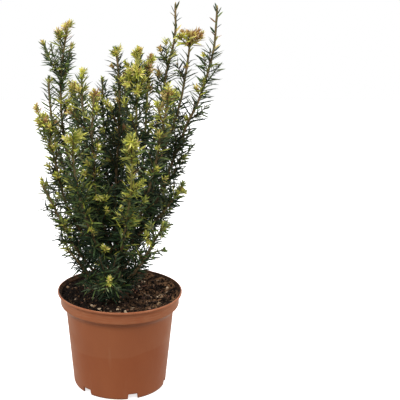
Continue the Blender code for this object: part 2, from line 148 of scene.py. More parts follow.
# A value carried from between two levels to between two others, and held there beyond them.
def ranged(material, value, low, high, first=0.0, last=1.0):
    levels = {"Value": value, "From Min": low, "From Max": high, "To Min": first, "To Max": last}
    return addNode(material, "ShaderNodeMapRange", levels).outputs["Result"]


# value * factor + added
def worked(material, value, factor, added=0.0):
    inputs = {0: value, 1: factor, 2: added}
    return addNode(material, "ShaderNodeMath", inputs, operation="MULTIPLY_ADD").outputs[0]


# The X, Y and Z of Object coordinates.
def placeOf(material):
    place = addNode(material, "ShaderNodeTexCoord").outputs["Object"]
    return addNode(material, "ShaderNodeSeparateXYZ", {"Vector": place}).outputs


# Noise on Object coordinates, stretched by a factor along each axis, spread out to 0..1 between two levels.
def noiseShare(material, scale, low=0.35, high=0.65, stretch=(1, 1, 1), detail=3.0):
    place = addNode(material, "ShaderNodeTexCoord").outputs["Object"]
    if stretch != (1, 1, 1):
        place = addNode(material, "ShaderNodeMapping", {"Vector": place, "Scale": stretch}).outputs[0]
    noise = addNode(material, "ShaderNodeTexNoise", {"Vector": place, "Scale": scale, "Detail": detail})
    return ranged(material, noise.outputs["Fac"], low, high)


# first * (1 - share) + second * share, where each may be a colour or a socket.
def blendColours(material, share, first, second):
    mix = addNode(material, "ShaderNodeMix", data_type="RGBA")
    material.node_tree.links.new(share, mix.inputs["Factor"])
    for socket, colour in ((mix.inputs["A"], first), (mix.inputs["B"], second)):
        if isinstance(colour, bpy.types.NodeSocket):
            material.node_tree.links.new(colour, socket)
        else:
            socket.default_value = linear(*colour)
    return mix.outputs["Result"]


# Tilts the normals by a height, in metres of relief at its full value.
def addBump(material, height, distance, strength=1.0):
    inputs = {"Height": height, "Distance": distance, "Strength": strength}
    wire(material, addNode(material, "ShaderNodeBump", inputs).outputs["Normal"], "Normal")


# Pot: a profile of radius and height turned round the axis

pot = {
    "sides": 240, "lipRadius": 0.0950, "height": 0.1494, "lipDepth": 0.0034,
    "collarRadius": 0.0906, "collarFoot": 0.1295, "bodyTopRadius": 0.0822, "bodyTop": 0.1185,
    "footRadius": 0.0714, "footTop": 0.0220, "wall": 0.0019, "floorUnder": 0.0085, "discRadius": 0.0520,
    "notches": 6, "firstNotch": 16.0, "notchWidth": 0.0150, "notchHeight": 0.0080,
    "clay": (166, 92, 54), "clayDeep": (154, 80, 44), "dusty": (188, 134, 98),
    # the inside's colour: soil stain, darkened further as painted shade of the inner wall
    "stainedAndShaded": (44, 31, 23), "smeared": (92, 66, 46),
    "tideLine": 0.0770, "tideSlope": -0.09, "tideWaver": 0.010, "tideSoft": 0.0012,  # a faint line round it
    "dullBelow": 0.09, "dullAbove": 0.18, "scuffs": 0.20, "streaks": 0.30,
}
potSlope = (pot["bodyTopRadius"] - pot["footRadius"]) / pot["bodyTop"]
innerRadius = pot["collarRadius"] - pot["wall"]


# Radius and height at the corners of the inside, from the raised floor up to the lip.
def potInside():
    floor, wall = pot["floorUnder"] + pot["wall"], pot["wall"]
    return [
        (pot["discRadius"] - wall, wall),
        (pot["discRadius"], floor),
        (pot["footRadius"] + potSlope * floor - wall, floor),
        (pot["bodyTopRadius"] - wall, pot["bodyTop"]),
        (pot["collarRadius"] - wall, pot["collarFoot"] + 0.0020),
        (pot["collarRadius"] - wall, pot["height"] - pot["lipDepth"] - 0.0010),
    ]


# Radius and height at every corner: up the inside, over the lip and down the outside to the foot.
def potProfile():
    lip, top, collar, foot = pot["lipRadius"], pot["height"], pot["collarRadius"], pot["footRadius"]
    under, collarFoot, floor = top - pot["lipDepth"], pot["collarFoot"], pot["floorUnder"]
    return [
        (0.0, pot["wall"]), *potInside(),
        (lip - 0.0027, top - 0.0014), (lip - 0.0020, top), (lip - 0.0007, top), (lip, top - 0.0009),
        (lip - 0.0001, under), (collar, under - 0.0006), (collar, collarFoot),
        (collar - 0.0024, collarFoot - 0.0014), (collar - 0.0048, collarFoot - 0.0042),
        (pot["bodyTopRadius"] + 0.0010, collarFoot - 0.0075), (pot["bodyTopRadius"], pot["bodyTop"]),
        (foot + 0.0003, 0.0030), (foot - 0.0008, 0.0), (foot - 0.0024, 0.0), (foot - 0.0028, floor),
        (pot["discRadius"] + pot["wall"], floor), (pot["discRadius"], 0.0), (0.0, 0.0),
    ]


# Each corner of the profile becomes a short parabola between points on its two edges, with even steps
# between.
def roundedProfile(points, cut=0.0009, bends=5, longest=0.004):
    points = np.array(points)
    before, after = points[:-2] - points[1:-1], points[2:] - points[1:-1]
    start, end = (points[1:-1] + unit(edge) * np.minimum(cut, 0.42 * np.linalg.norm(edge, axis=1))[:, None]
                  for edge in (before, after))
    share = np.linspace(0, 1, bends)[:, None, None]
    arcs = (1 - share) ** 2 * start + 2 * share * (1 - share) * points[1:-1] + share ** 2 * end
    path = np.concatenate([points[:1], arcs.transpose(1, 0, 2).reshape(-1, 2), points[-1:]])
    steps = np.linalg.norm(np.diff(path, axis=0), axis=1)
    reached = np.concatenate([[0], np.cumsum(steps)])
    extra = [np.linspace(low, high, int(math.ceil((high - low) / longest)) + 1)[:-1]
             for low, high in zip(reached[:-1], reached[1:])]
    wanted = np.concatenate(extra + [reached[-1:]])
    return np.stack([np.interp(wanted, reached, path[:, axis]) for axis in range(2)], axis=1)


# Four corners of each cell in a grid of rings, ring by ring, closed round the sides.
def ringQuads(rings, sides):
    low = np.arange(rings - 1)[:, None] * sides
    side = np.arange(sides)[None]
    after, high = (side + 1) % sides, low + sides
    return np.stack([low + side, low + after, high + after, high + side], axis=-1).reshape(-1, 4)


# A profile turned once round Z: its rings, and the two poles that close it.
def turnedFaces(rows, sides):
    side, pole = np.arange(sides), rows * sides
    after, last = (side + 1) % sides, (rows - 1) * sides
    return (ringQuads(rows, sides), np.stack([np.full(sides, pole), after, side], axis=1),
            np.stack([np.full(sides, pole + 1), last + side, last + after], axis=1))


# Mottled clay colour, dusted by three masks.
def makePotPlastic():
    made = newMaterial("terracottaPlastic", pot["clay"], 0.42, 0.30)
    mottles = noiseShare(made, 16, 0.32, 0.68, (1, 1, 0.55))
    mottled = blendColours(made, mottles, pot["clay"], pot["clayDeep"])
    # Above a faint sloping line the body is a little duller, as where it stood in its tray.
    place = placeOf(made)
    height = worked(made, noiseShare(made, 22, 0.0, 1.0), pot["tideWaver"], place["Z"])
    height = worked(made, place["X"], pot["tideSlope"], height)
    above = ranged(made, height, pot["tideLine"] - pot["tideSoft"], pot["tideLine"] + pot["tideSoft"],
                   pot["dullBelow"], pot["dullAbove"])
    dulled = blendColours(made, above, mottled, pot["dusty"])
    # Thin scuffs and dust, drawn out round the pot on the collar and down its side.
    scuffs = worked(made, noiseShare(made, 55, 0.60, 0.74, (1, 1, 0.18), 5.0), pot["scuffs"])
    scuffed = blendColours(made, scuffs, dulled, pot["dusty"])
    # Fine streaks run round the collar and lip.
    foot = pot["collarFoot"]
    high = ranged(made, place["Z"], foot - 0.0020, foot + 0.0005, 0.0, pot["streaks"])
    streaks = worked(made, noiseShare(made, 60, 0.42, 0.62, (1, 1, 14), 4.0), high)
    wire(made, blendColours(made, streaks, scuffed, pot["dusty"]), "Base Color")
    wire(made, ranged(made, noiseShare(made, 30), 0.0, 1.0, 0.34, 0.48), "Roughness")
    addBump(made, noiseShare(made, 420, 0.2, 0.8), 0.00012, 0.7)
    return made


# The inside, stained by soil and painted darker as shade of the inner wall, with dried smears.
def makeStainedShadedPlastic():
    made = newMaterial("soiledShadedPlastic", pot["stainedAndShaded"], 0.88, 0.10)
    smears = noiseShare(made, 130, 0.42, 0.66, (1, 1, 0.6), 5.0)
    wire(made, blendColours(made, smears, pot["stainedAndShaded"], pot["smeared"]), "Base Color")
    addBump(made, noiseShare(made, 500, 0.2, 0.8), 0.0006, 0.9)
    return made


# The foot ring is lifted at each notch, and the wall above it is squeezed between the lifted foot and
# footTop. A slight wobble leaves the rim a little out of round.
def makePot():
    profile = roundedProfile(potProfile())[1:-1]
    across, high = profile[:, 0], profile[:, 1]
    edges = pot["firstNotch"] + 360 / pot["notches"] * np.arange(pot["notches"])
    half = math.degrees(pot["notchWidth"] / 2 / pot["footRadius"])
    extra = np.concatenate([edges + side * (half + off) for side in (-1, 1) for off in (-0.25, 0.25)])
    even = np.arange(pot["sides"]) * 360 / pot["sides"] + 0.07
    turn = np.radians(np.sort(np.concatenate([even, extra % 360])))
    away = np.abs((np.degrees(turn)[:, None] - edges + 180) % 360 - 180).min(axis=1)
    lifted = pot["notchHeight"] * np.clip((half + 0.26 - away) / 0.5, 0, 1)
    radius, height = (np.repeat(values[:, None], len(turn), axis=1) for values in (across, high))
    ring = (np.arange(len(profile)) >= np.argmax(across)) & (across > pot["footRadius"] - 0.0040)
    inner = ring & (across < pot["footRadius"] - 0.0020) & (high < pot["floorUnder"] + 1e-6)
    top = np.where(inner, pot["floorUnder"] + 0.0002, pot["footTop"])[:, None]
    height = np.where(ring[:, None] & (height < top), lifted + height * (top - lifted) / top, height)
    wallFoot = (ring & ~inner & (high < pot["footTop"]))[:, None]
    radius = np.where(wallFoot, radius + (height - profile[:, 1:]) * potSlope, radius)
    wobble = 0.00022 * np.sin(3 * turn + 0.6) + 0.00012 * np.sin(7 * turn + 2.0)
    radius = radius + wobble * np.clip(height / pot["height"], 0, 1) ** 3
    points = np.stack([radius * np.sin(turn), -radius * np.cos(turn), height], axis=-1).reshape(-1, 3)
    points = np.concatenate([points, [[0, 0, pot["wall"]], [0, 0, 0]]])
    faces = [part[:, ::-1] for part in turnedFaces(len(profile), len(turn))]  # the profile runs down outside
    lipTop = int(np.argmax(high > pot["height"] - 0.0002))
    row = np.concatenate([np.repeat(np.arange(len(profile) - 1), len(turn)), np.zeros(len(turn)),
                          np.full(len(turn), len(profile))])
    # The inside up to the lip takes the stained plastic, painted darker as shade of the inner wall.
    finishes = [makePotPlastic(), makeStainedShadedPlastic()]
    piece = addPiece("nurseryPot", points, faces, finishes, row < lipTop, ["pot"])
    piece.data.set_sharp_from_angle(angle=math.radians(42))


# Soil: fills the pot up to an uneven top of lumps, with crumbs, bark chips, pale grains and splinters on it

soil = {
    "level": 0.1392, "bank": 0.0048, "tilt": 0.0022, "lump": 0.0013, "flatOut": 0.0175,
    "rings": 60, "sides": 220, "grain": 0.0009, "gap": 0.0003, "seed": 41, "bareRoundTrunk": 0.014,
    # Towards the left the soil stays wet and dark, partly painted shade from the plant; towards the right it
    # turns dry and pale.
    "wet": (12, 9, 7), "peat": (44, 32, 24), "dry": (128, 95, 67), "dryUnshadedFrom": -0.02, "dryUnshadedTo": 0.060,
}

# Each kind of litter: how many, room to the pot's wall, how far they gather on the right and how high they
# lie. Stones have a least size, a range above it, the power of its draw and the range of their unevenness.
# Chips have the ranges of their length, width and thickness. Each is given one of its tones at random, by
# their shares.
litter = {
    "soilCrumbs": {
        "count": 2600, "room": 0.002, "rightward": 0.25, "rise": 0, "riseBySize": 0.35, "rough": 0.25,
        "stones": (0.0004, 0.0017, 2.6, 0.7, 1.2), "finish": ("crumb", 0.95, 0.12),
        "tones": {"Black": (20, 15, 12), "Brown": (46, 33, 24), "Pale": (92, 70, 50)},
        "shares": (0.52, 0.38, 0.10),
    },
    "soilBarkChips": {
        "count": 90, "room": 0.006, "rightward": 0.3, "rise": 0.0005,
        "chips": ((0.003, 0.0085), (0.0015, 0.0038), (0.0007, 0.0014)), "finish": ("barkChip", 0.85, 0.5),
        "tones": {"Dark": (62, 38, 26), "Red": (104, 64, 42), "Grey": (128, 104, 82)},
        "shares": (0.4, 0.4, 0.2),
    },
    "soilPaleGrains": {
        "count": 70, "room": 0.004, "rightward": 0.5, "rise": 0.0004, "riseBySize": 0, "rough": 0.15,
        "stones": (0.0007, 0.0024, 2, 0.8, 1.2), "finish": ("paleGrain", 0.8, 0.5),
        "tones": {"Cream": (196, 170, 140), "Buff": (156, 124, 92), "Rose": (150, 108, 84)},
        "shares": (0.4, 0.4, 0.2),
    },
    "soilSplinters": {
        "count": 22, "room": 0.011, "rightward": 0.0, "rise": 0.0007,
        "chips": ((0.006, 0.016), (0.0006, 0.0013), (0.0004, 0.0006)), "finish": ("splinter", 0.7, 0.5),
        "tones": {"Pale": (186, 160, 128), "Brown": (120, 82, 50)}, "shares": (0.45, 0.55),
    },
}


# Distance from the axis of the trunk.
def fromTrunk(x, y):
    return np.hypot(x - crown["trunkFoot"][0], y - crown["trunkFoot"][1])


# Level + three crossing waves, flat at the trunk, tilted to the side and banked up against the wall.
def soilHeight(x, y):
    away = np.clip((fromTrunk(x, y) - soil["flatOut"]) / 0.018, 0.0, 1.0)
    waves = np.sin(71 * x + 40 * y) + np.sin(118 * y - 52 * x + 1.3) + np.sin(97 * x + 2.1)
    bank = soil["bank"] * np.clip((np.hypot(x, y) - 0.052) / 0.036, 0, 1) ** 1.6
    uneven = soil["tilt"] * x / pot["collarRadius"] + soil["lump"] * waves / 1.6
    return soil["level"] + bank + away * uneven


# The soil's top with its small grain: the even waves plus three sizes of noise.
def soilTop(x, y):
    spot = np.stack([x, y, 0 * x], axis=-1)
    grain = lumps(spot, 0.0065, 3) + 0.7 * lumps(spot, 0.0028, 4) + 0.45 * lumps(spot, 0.0013, 5)
    return soilHeight(x, y) + soil["grain"] * grain


# Wet and peaty by fine noise, drier and paler towards the right of the pot; the darker left is partly
# painted shade from the plant.
def makeSoilFinish():
    made = newMaterial("pottingSoil", soil["peat"], 0.95, 0.12)
    fine = blendColours(made, noiseShare(made, 330, 0.38, 0.66, detail=5.0), soil["wet"], soil["peat"])
    side = ranged(made, placeOf(made)["X"], soil["dryUnshadedFrom"], soil["dryUnshadedTo"], 0.0, 0.9)
    patches = worked(made, noiseShare(made, 62, 0.40, 0.60, detail=5.0), side)
    wire(made, blendColours(made, patches, fine, soil["dry"]), "Base Color")
    addBump(made, noiseShare(made, 900, 0.2, 0.8, detail=5.0), 0.0007, 0.9)
    return made


# A turned solid: the pot's inside as its wall, and rings of shrinking radius at the soil's height on top.
def makeSoil():
    turn = np.arange(soil["sides"]) * 2 * np.pi / soil["sides"]
    circle = np.stack([np.cos(turn), np.sin(turn)], axis=-1)
    gap = soil["gap"]
    lower = np.array(potInside()[:-1]) + [-gap, gap]
    radius = np.concatenate([lower[:, 0], (innerRadius - gap) * np.linspace(1, 0.015, soil["rings"])])
    flat = radius[:, None, None] * circle
    top = flat[len(lower):]
    under = np.repeat(lower[:, 1:], soil["sides"], axis=1)
    height = np.concatenate([under, soilTop(top[..., 0], top[..., 1])])
    points = np.concatenate([flat, height[..., None]], axis=-1).reshape(-1, 3)
    middle = soilTop(np.zeros(1), np.zeros(1))[0]
    points = np.concatenate([points, [[0, 0, pot["wall"] + gap], [0, 0, middle]]])
    faces = turnedFaces(len(radius), soil["sides"])
    addPiece("pottingSoil", points, faces, [makeSoilFinish()], replaced=["potting_soil"])


# Twenty-faced stones, each stretched, roughened and turned by its own random frame.
def stonesAt(places, sizes, random, roughness):
    golden = (1 + 5 ** 0.5) / 2
    corners = [(a, b * golden, 0) for a in (-1, 1) for b in (-1, 1)]
    corners = np.array(corners + [(0, a, b) for a, b, _ in corners] + [(b, 0, a) for a, b, _ in corners])
    distance = np.linalg.norm(corners[:, None] - corners, axis=2)
    near = (distance > 1) & (distance < 2.1)
    trios = np.array([(a, b, c) for a in range(12) for b in range(a + 1, 12) for c in range(b + 1, 12)
                      if near[a, b] and near[b, c] and near[a, c]])
    first, second, third = (corners[trios[:, column]] for column in range(3))
    inward = (np.cross(second - first, third - first) * corners[trios].mean(axis=1)).sum(axis=1) < 0
    trios[inward] = trios[inward][:, ::-1]
    shape = unit(corners.astype(float)) * (1 + roughness * random.uniform(-1, 1, (len(places), 12, 1)))
    frames = np.linalg.qr(random.normal(size=(len(places), 3, 3)))[0]
    frames[:, :, 2] *= np.sign(np.linalg.det(frames))[:, None]
    points = places[:, None] + np.einsum("pij,pcj->pci", frames, shape * sizes[:, None])
    faces = (np.arange(len(places)) * 12)[:, None, None] + trios
    return points.reshape(-1, 3), faces.reshape(-1, 3)


# Random spots on the soil, more of them to one side, clear of the trunk and the pot's wall.
def spotsOnSoil(count, random, room, rightward):
    drawn = count * 4
    radius = (innerRadius - room) * np.sqrt(random.uniform(0.03, 1, drawn))
    turn = random.uniform(0, 2 * np.pi, drawn)
    x, y = radius * np.cos(turn), radius * np.sin(turn)
    kept = random.uniform(-1, 1, drawn) < 1 + rightward * (x / pot["collarRadius"] * 2 - 1)
    kept &= fromTrunk(x, y) > soil["bareRoundTrunk"]
    x, y = x[kept][:count], y[kept][:count]
    return np.stack([x, y, soilTop(x, y)], axis=-1)


# Chips and splinters: boxes of four rings with pinched ends that lie nearly flat.
def chipsAt(places, lengths, widths, thicknesses, random):
    many = len(places)
    ring = ((-1, -1), (1, -1), (1, 1), (-1, 1))
    box = np.array([(x, y, z) for x in (-1, -0.3, 0.45, 1) for y, z in ring], float)
    box[:, 1] *= np.repeat([0.45, 1.0, 0.9, 0.35], 4)
    shape = box * (1 + 0.22 * random.uniform(-1, 1, (many, 16, 3))) * 0.5
    shape = shape * np.stack([lengths, widths, thicknesses], axis=-1)[:, None]
    turn, tip = random.uniform(0, 2 * np.pi, many), random.normal(0, 0.16, many)
    ahead = np.stack([np.cos(turn) * np.cos(tip), np.sin(turn) * np.cos(tip), np.sin(tip)], axis=-1)
    side = unit(np.cross([0, 0, 1.0], ahead) + random.normal(0, 0.2, (many, 3)) * [0, 0, 1])
    side = unit(side - ahead * (side * ahead).sum(axis=1, keepdims=True))
    axes = np.stack([ahead, side, np.cross(ahead, side)], axis=1)
    points = places[:, None] + np.einsum("pcj,pji->pci", shape, axes)
    quads = np.concatenate([np.roll(ringQuads(4, 4), -1, axis=1), [[3, 2, 1, 0], [12, 13, 14, 15]]])
    faces = (np.arange(many) * 16)[:, None, None] + quads
    return points.reshape(-1, 3), faces.reshape(-1, 4)


# Scatters each kind in turn, from one row of random draws.
def makeLitter():
    random = np.random.default_rng(soil["seed"])
    for name, kind in litter.items():
        places = spotsOnSoil(kind["count"], random, kind["room"], kind["rightward"])
        many = len(places)
        if "stones" in kind:
            least, spread, power, low, high = kind["stones"]
            sizes = least + spread * random.random((many, 1)) ** power * random.uniform(low, high, (many, 3))
            rise = kind["rise"] + kind["riseBySize"] * sizes.mean(axis=1, keepdims=True)
            points, faces = stonesAt(places + rise * [0, 0, 1], sizes, random, kind["rough"])
        else:
            spans = [random.uniform(low, high, many) for low, high in kind["chips"]]
            points, faces = chipsAt(places + [0, 0, kind["rise"]], *spans, random)
        label, roughness, specular = kind["finish"]
        finishes = tonesOf(label, roughness, specular, **kind["tones"])
        tone = np.repeat(random.choice(len(finishes), many, p=kind["shares"]), len(faces) // many)
        addPiece(name, points, [faces], finishes, tone, smooth=False)


# View: the photo's camera, in metres and degrees, and how the plant and the photo's pixels map to each other

view = {
    "place": (0.0, -1.196, 0.613), "down": 15.1, "lens": 75.0, "sensor": 36.0, "shift": 0.2002,
    "pixels": 400, "metresPerPixel": 0.00144,
}
viewPlace = np.array(view["place"])
viewMiddle, viewShift = view["pixels"] / 2, view["shift"] * view["pixels"]
focal = view["lens"] / view["sensor"] * view["pixels"]
viewCos, viewSin = math.cos(math.radians(view["down"])), math.sin(math.radians(view["down"]))


# Column and row where a point lands: the middle plus the focal length times its offset over its distance
# ahead.
def pixelsOf(points):
    x, y, z = np.moveaxis(points - viewPlace, -1, 0)
    ahead, up = y * viewCos - z * viewSin, y * viewSin + z * viewCos
    return np.stack([viewMiddle - viewShift + focal * x / ahead, viewMiddle - focal * up / ahead], axis=-1)


# The point at depth y that lands on a pixel.
def pointAt(column, row, y):
    ray = np.array([column - viewMiddle + viewShift, focal * viewCos + (viewMiddle - row) * viewSin,
                    (viewMiddle - row) * viewCos - focal * viewSin])
    return viewPlace + ray * (y - viewPlace[1]) / ray[1]


# Crown: where every stem runs, by the same rule and places as the solids

crown = {
    "trunkFoot": (-0.0050, -0.0060, 0.1395), "trunkTop": (-0.0075, 0.0030, 0.2500),
    "trunkRadius": 0.0068, "trunkTopRadius": 0.0027, "flare": 0.0042, "flareHeight": 0.0110,
    "boughRadius": 0.0030, "boughEndRadius": 0.0022, "seed": 13,
    "bareBelow": 0.0015, "leafyBelow": 0.0085,   # how far under its tip a stem's wood ends
}

# name: (parent limb, share along it, tip in millimetres, degrees of rise at the root, lean of the tip in x
# and y per unit of height, share of the stem that is bough)
stems = {
    "centre_tall": ("trunk", 1, (-7, 20, 515), 88, (-0.16, 0), 0),
    "left_tall": ("trunk", 0.42, (-72, 15, 551), 54, (0.24, 0), 0.2),
    "left_outer": ("trunk", 0.3, (-110, -15, 424), 50, (0.02, 0), 0.2),
    "left_spire": ("left_outer", 0.8, (-104, 30, 471), 66, (0.02, 0.05), 0),
    "left_low": ("trunk", 0.12, (-114, -30, 326), 34, (-0.5, 0), 0.16),
    "front_left": ("trunk", 0.24, (-64, -80, 402), 54, (0.02, -0.05), 0.16),
    "mid_left": ("left_tall", 0.75, (-46, -15, 487), 80, (0.1, 0), 0),
    "centre_left": ("trunk", 0.6, (-40, -40, 461), 56, (0, -0.05), 0.14),
    "centre_inner": ("trunk", 0.9, (-26, 55, 467), 60, (0, 0.05), 0),
    "centre_right": ("trunk", 0.73, (26, -25, 519), 62, (0.06, 0), 0.16),
    "centre_golden": ("centre_right", 0.8, (44, 0, 506), 62, (0.12, 0), 0),
    "front_centre": ("trunk", 0.36, (16, -88, 404), 54, (-0.04, -0.05), 0.16),
    "right_tall": ("trunk", 0.46, (133, -15, 571), 56, (0.02, 0), 0.22),
    "right_mid": ("right_tall", 0.85, (99, 10, 542), 74, (0.14, 0), 0),
    "right_inner": ("trunk", 0.8, (79, 20, 575), 60, (0.12, 0), 0.12),
    "right_golden": ("trunk", 0.6, (71, -45, 462), 50, (0.22, 0), 0.16),
    "right_side": ("right_tall", 0.5, (92, -32, 318), 36, (0.8, 0), 0),
    "right_low": ("trunk", 0.16, (66, -62, 274), 30, (0.6, -0.2), 0.16),
    "back_left": ("trunk", 0.5, (-70, 88, 457), 50, (-0.05, 0.1), 0.16),
    "back_centre": ("trunk", 0.72, (8, 102, 472), 50, (0, 0.1), 0.14),
    "back_right": ("trunk", 0.54, (85, 78, 447), 44, (0.1, 0.1), 0.16),
    "back_left_low": ("trunk", 0.2, (-88, 64, 314), 34, (-0.5, 0.3), 0.16),
    "back_right_low": ("trunk", 0.26, (76, 84, 302), 34, (0.4, 0.5), 0.16),
    "foot_front": ("trunk", 0.06, (-16, -60, 186), 10, (0.2, -0.8), 0),
    "foot_left": ("trunk", 0.05, (-80, -30, 226), 20, (-0.8, -0.2), 0),
    "foot_right": ("trunk", 0.07, (50, -20, 226), 38, (0.6, -0.2), 0),
    "foot_back": ("trunk", 0.06, (4, 66, 210), 18, (0, 0.9), 0),
}
stemNames = list(stems)

# Where the photo's stem runs beside the ruled curve: rows of pixels and the shift to the right there.
sways = {
    "right_mid": ((28, 0), (44, 3), (66, 4), (100, 5), (128, 3), (150, 0)),
    "right_tall": ((24, 1), (48, 2), (76, 0), (104, -2), (124, -6), (150, -6), (180, -3), (205, 0)),
    "right_inner": ((8, 0), (22, 3), (42, 4), (62, 1), (76, 0)),
    "left_outer": ((108, 0), (128, 4), (148, 7), (176, 6), (200, 2), (218, 0)),
    "mid_left": ((60, -5), (92, -4), (130, 0)),
    "centre_left": ((70, 4), (96, 3), (130, 0)),
}

# Shares of each needle shade, darkest first: deep, dark, mid, fresh, lime, gold, bronze.
mixes = {
    "shadow": (0.52, 0.38, 0.10, 0, 0, 0, 0),
    "green": (0.15, 0.44, 0.34, 0.07, 0, 0, 0),
    "olive": (0.02, 0.14, 0.37, 0.30, 0.12, 0.05, 0),
    "bright": (0.01, 0.09, 0.26, 0.38, 0.24, 0.02, 0),
    "plume": (0, 0.02, 0.09, 0.32, 0.47, 0.10, 0),
    "golden": (0.02, 0.12, 0.24, 0.22, 0.20, 0.17, 0.03),
    "dry": (0.02, 0.18, 0.40, 0.10, 0, 0.05, 0.25),
    "limeTip": (0, 0, 0.03, 0.32, 0.60, 0.05, 0),
    "plumeTip": (0, 0.05, 0.20, 0.35, 0.33, 0.07, 0),
    "paleTip": (0, 0.05, 0.30, 0.40, 0.22, 0.03, 0),
    "goldTip": (0, 0, 0.04, 0.16, 0.38, 0.34, 0.08),
    "rustTip": (0, 0, 0, 0.08, 0.18, 0.46, 0.28),
}

# name: (mix low on the stem, mix high on it, mix of its fresh growth, share of shoots that end in a fresh
# tuft, and in millimetres the bare length at the tip, the length of fresh plume there and the longest side
# shoot, then the shoots per metre and the tufts fanned at the tip)
looks = {
    "centre_tall": ("green", "olive", "goldTip", 0.15, 0, 8, 30, 75, 4),
    "left_tall": ("green", "green", "rustTip", 0.08, 0, 22, 32, 45, 3),
    "left_outer": ("green", "olive", "goldTip", 0.4, 0, 16, 28, 90, 5),
    "left_spire": ("green", "green", "limeTip", 0.05, 0, 6, 12, 20, 1),
    "left_low": ("shadow", "green", "limeTip", 0.12, 0, 0, 36, 105, 1),
    "front_left": ("green", "green", "limeTip", 0.12, 0, 22, 34, 70, 3),
    "mid_left": ("green", "olive", "limeTip", 0.4, 0, 8, 24, 80, 2),
    "centre_left": ("green", "olive", "goldTip", 0.35, 0, 8, 40, 115, 4),
    "centre_inner": ("green", "green", "limeTip", 0.15, 0, 0, 42, 125, 0),
    "centre_right": ("green", "bright", "limeTip", 0.35, 0, 45, 30, 85, 5),
    "centre_golden": ("green", "plume", "goldTip", 0.45, 0, 40, 18, 80, 4),
    "front_centre": ("green", "bright", "plumeTip", 0.24, 0, 60, 30, 70, 6),
    "right_tall": ("green", "green", "limeTip", 0.08, 62, 0, 20, 36, 0),
    "right_mid": ("green", "green", "goldTip", 0.04, 40, 0, 12, 24, 0),
    "right_inner": ("green", "olive", "paleTip", 0.12, 60, 0, 18, 34, 0),
    "right_golden": ("green", "olive", "goldTip", 0.45, 0, 14, 32, 100, 5),
    "right_side": ("green", "green", "paleTip", 0.12, 0, 6, 34, 64, 2),
    "right_low": ("green", "green", "paleTip", 0.16, 0, 6, 34, 64, 2),
    "back_left": ("green", "olive", "limeTip", 0.34, 0, 14, 50, 120, 6),
    "back_centre": ("green", "olive", "goldTip", 0.34, 0, 14, 52, 130, 7),
    "back_right": ("green", "olive", "limeTip", 0.34, 0, 14, 50, 120, 6),
    "back_left_low": ("green", "green", "limeTip", 0.25, 0, 8, 40, 120, 4),
    "back_right_low": ("green", "green", "limeTip", 0.25, 0, 8, 34, 80, 4),
    "foot_front": ("shadow", "shadow", "limeTip", 0, 0, 0, 38, 230, 0),
    "foot_left": ("shadow", "shadow", "limeTip", 0, 0, 0, 22, 130, 0),
    "foot_right": ("shadow", "shadow", "limeTip", 0, 0, 0, 14, 110, 0),
    "foot_back": ("shadow", "green", "limeTip", 0.06, 0, 0, 36, 220, 3),
}


# The same curve with a count of points at even distances along it.
def resampled(curve, count):
    steps = np.linalg.norm(np.diff(curve, axis=0), axis=1)
    reached = np.concatenate([[0], np.cumsum(steps)])
    wanted = np.linspace(0, reached[-1], count)
    return np.stack([np.interp(wanted, reached, curve[:, axis]) for axis in range(3)], axis=1)


# A cubic curve that leaves the root along first and arrives at the tip along last, evenly spaced.
def curveBetween(root, tip, first, last, count):
    span = np.linalg.norm(tip - root)
    share = np.linspace(0, 1, count)[:, None]
    inner, outer = root + first * 0.36 * span, tip - last * 0.34 * span
    curve = (1 - share) ** 3 * root + 3 * (1 - share) ** 2 * share * inner
    return resampled(curve + 3 * (1 - share) * share ** 2 * outer + share ** 3 * tip, count)


# Tangent, level side and upper side at every point of many paths, with no twist along them.
def framesOf(paths):
    tangent = unit(np.gradient(paths, axis=1))
    whole = unit(paths[:, -1] - paths[:, 0])
    level = np.cross([0.0, 0.0, 1.0], whole)
    steep = np.linalg.norm(level, axis=1) < 0.12
    level[steep] = np.cross([0.0, 1.0, 0.0], whole[steep])
    across = np.repeat(unit(level)[:, None], paths.shape[1], axis=1)
    across = unit(across - tangent * (across * tangent).sum(axis=-1, keepdims=True))
    return tangent, across, np.cross(tangent, across)


# Directions turned by an angle: cosine of the angle along first + sine of it along second.
def turnedBy(angle, first, second):
    return np.cos(angle)[..., None] * first + np.sin(angle)[..., None] * second


# A stem's curve moved sideways by its shifts, eased from one row to the next.
def swayed(name, curve, easing=61):
    rows, shifts = zip(*sways.get(name, ((0, 0), (view["pixels"], 0))))
    shift = np.pad(np.interp(pixelsOf(curve)[:, 1], rows, shifts), easing // 2, mode="edge")
    eased = np.convolve(shift, np.hanning(easing) / np.hanning(easing).sum(), mode="valid")
    return curve + eased[:, None] * [view["metresPerPixel"], 0, 0]


# The trunk's radius from foot to top, without its flare.
def trunkRadii(rows):
    low, high = crown["trunkRadius"], crown["trunkTopRadius"]
    return low + (high - low) * np.linspace(0, 1, rows) ** 0.8


# Each stem leaves its parent at a share of its axis, rises by its degrees and ends under its tip, leaning.
# The stretch of it that is clear of the parent, up to its bough's share, carries other stems.
def planStems():
    trunk = np.linspace(crown["trunkFoot"], crown["trunkTop"], 60)
    carriers = {"trunk": (trunk, trunkRadii(60))}
    leaders = []
    for name, (parent, share, tip, rise, lean, bough) in stems.items():
        axis, thickness = carriers[parent]
        root, tip = axis[int(round(share * (len(axis) - 1)))], np.array(tip) / 1000
        ahead = unit((tip - root) * [1, 1, 0])
        first = ahead * math.cos(math.radians(rise)) + [0, 0, math.sin(math.radians(rise))]
        if share == 1:
            first = unit(axis[-1] - axis[-2])
        last = unit(np.array([*lean, 1.0]))
        below = crown["bareBelow" if looks[name][4] > 50 else "leafyBelow"]
        curve = curveBetween(root, tip - last * below, first, last, 500)
        if bough:
            apart = np.linalg.norm(curve[:150, None] - axis, axis=2) - thickness
            start = int(np.argmax(apart.min(axis=1) > crown["boughRadius"]))
            limb = resampled(curve[start:int(bough * 500) + 1], 40)
            carriers[name] = (limb, np.full(40, crown["boughRadius"]))
        leaders.append(resampled(swayed(name, curve), 160))
    return trunk, np.array(leaders)


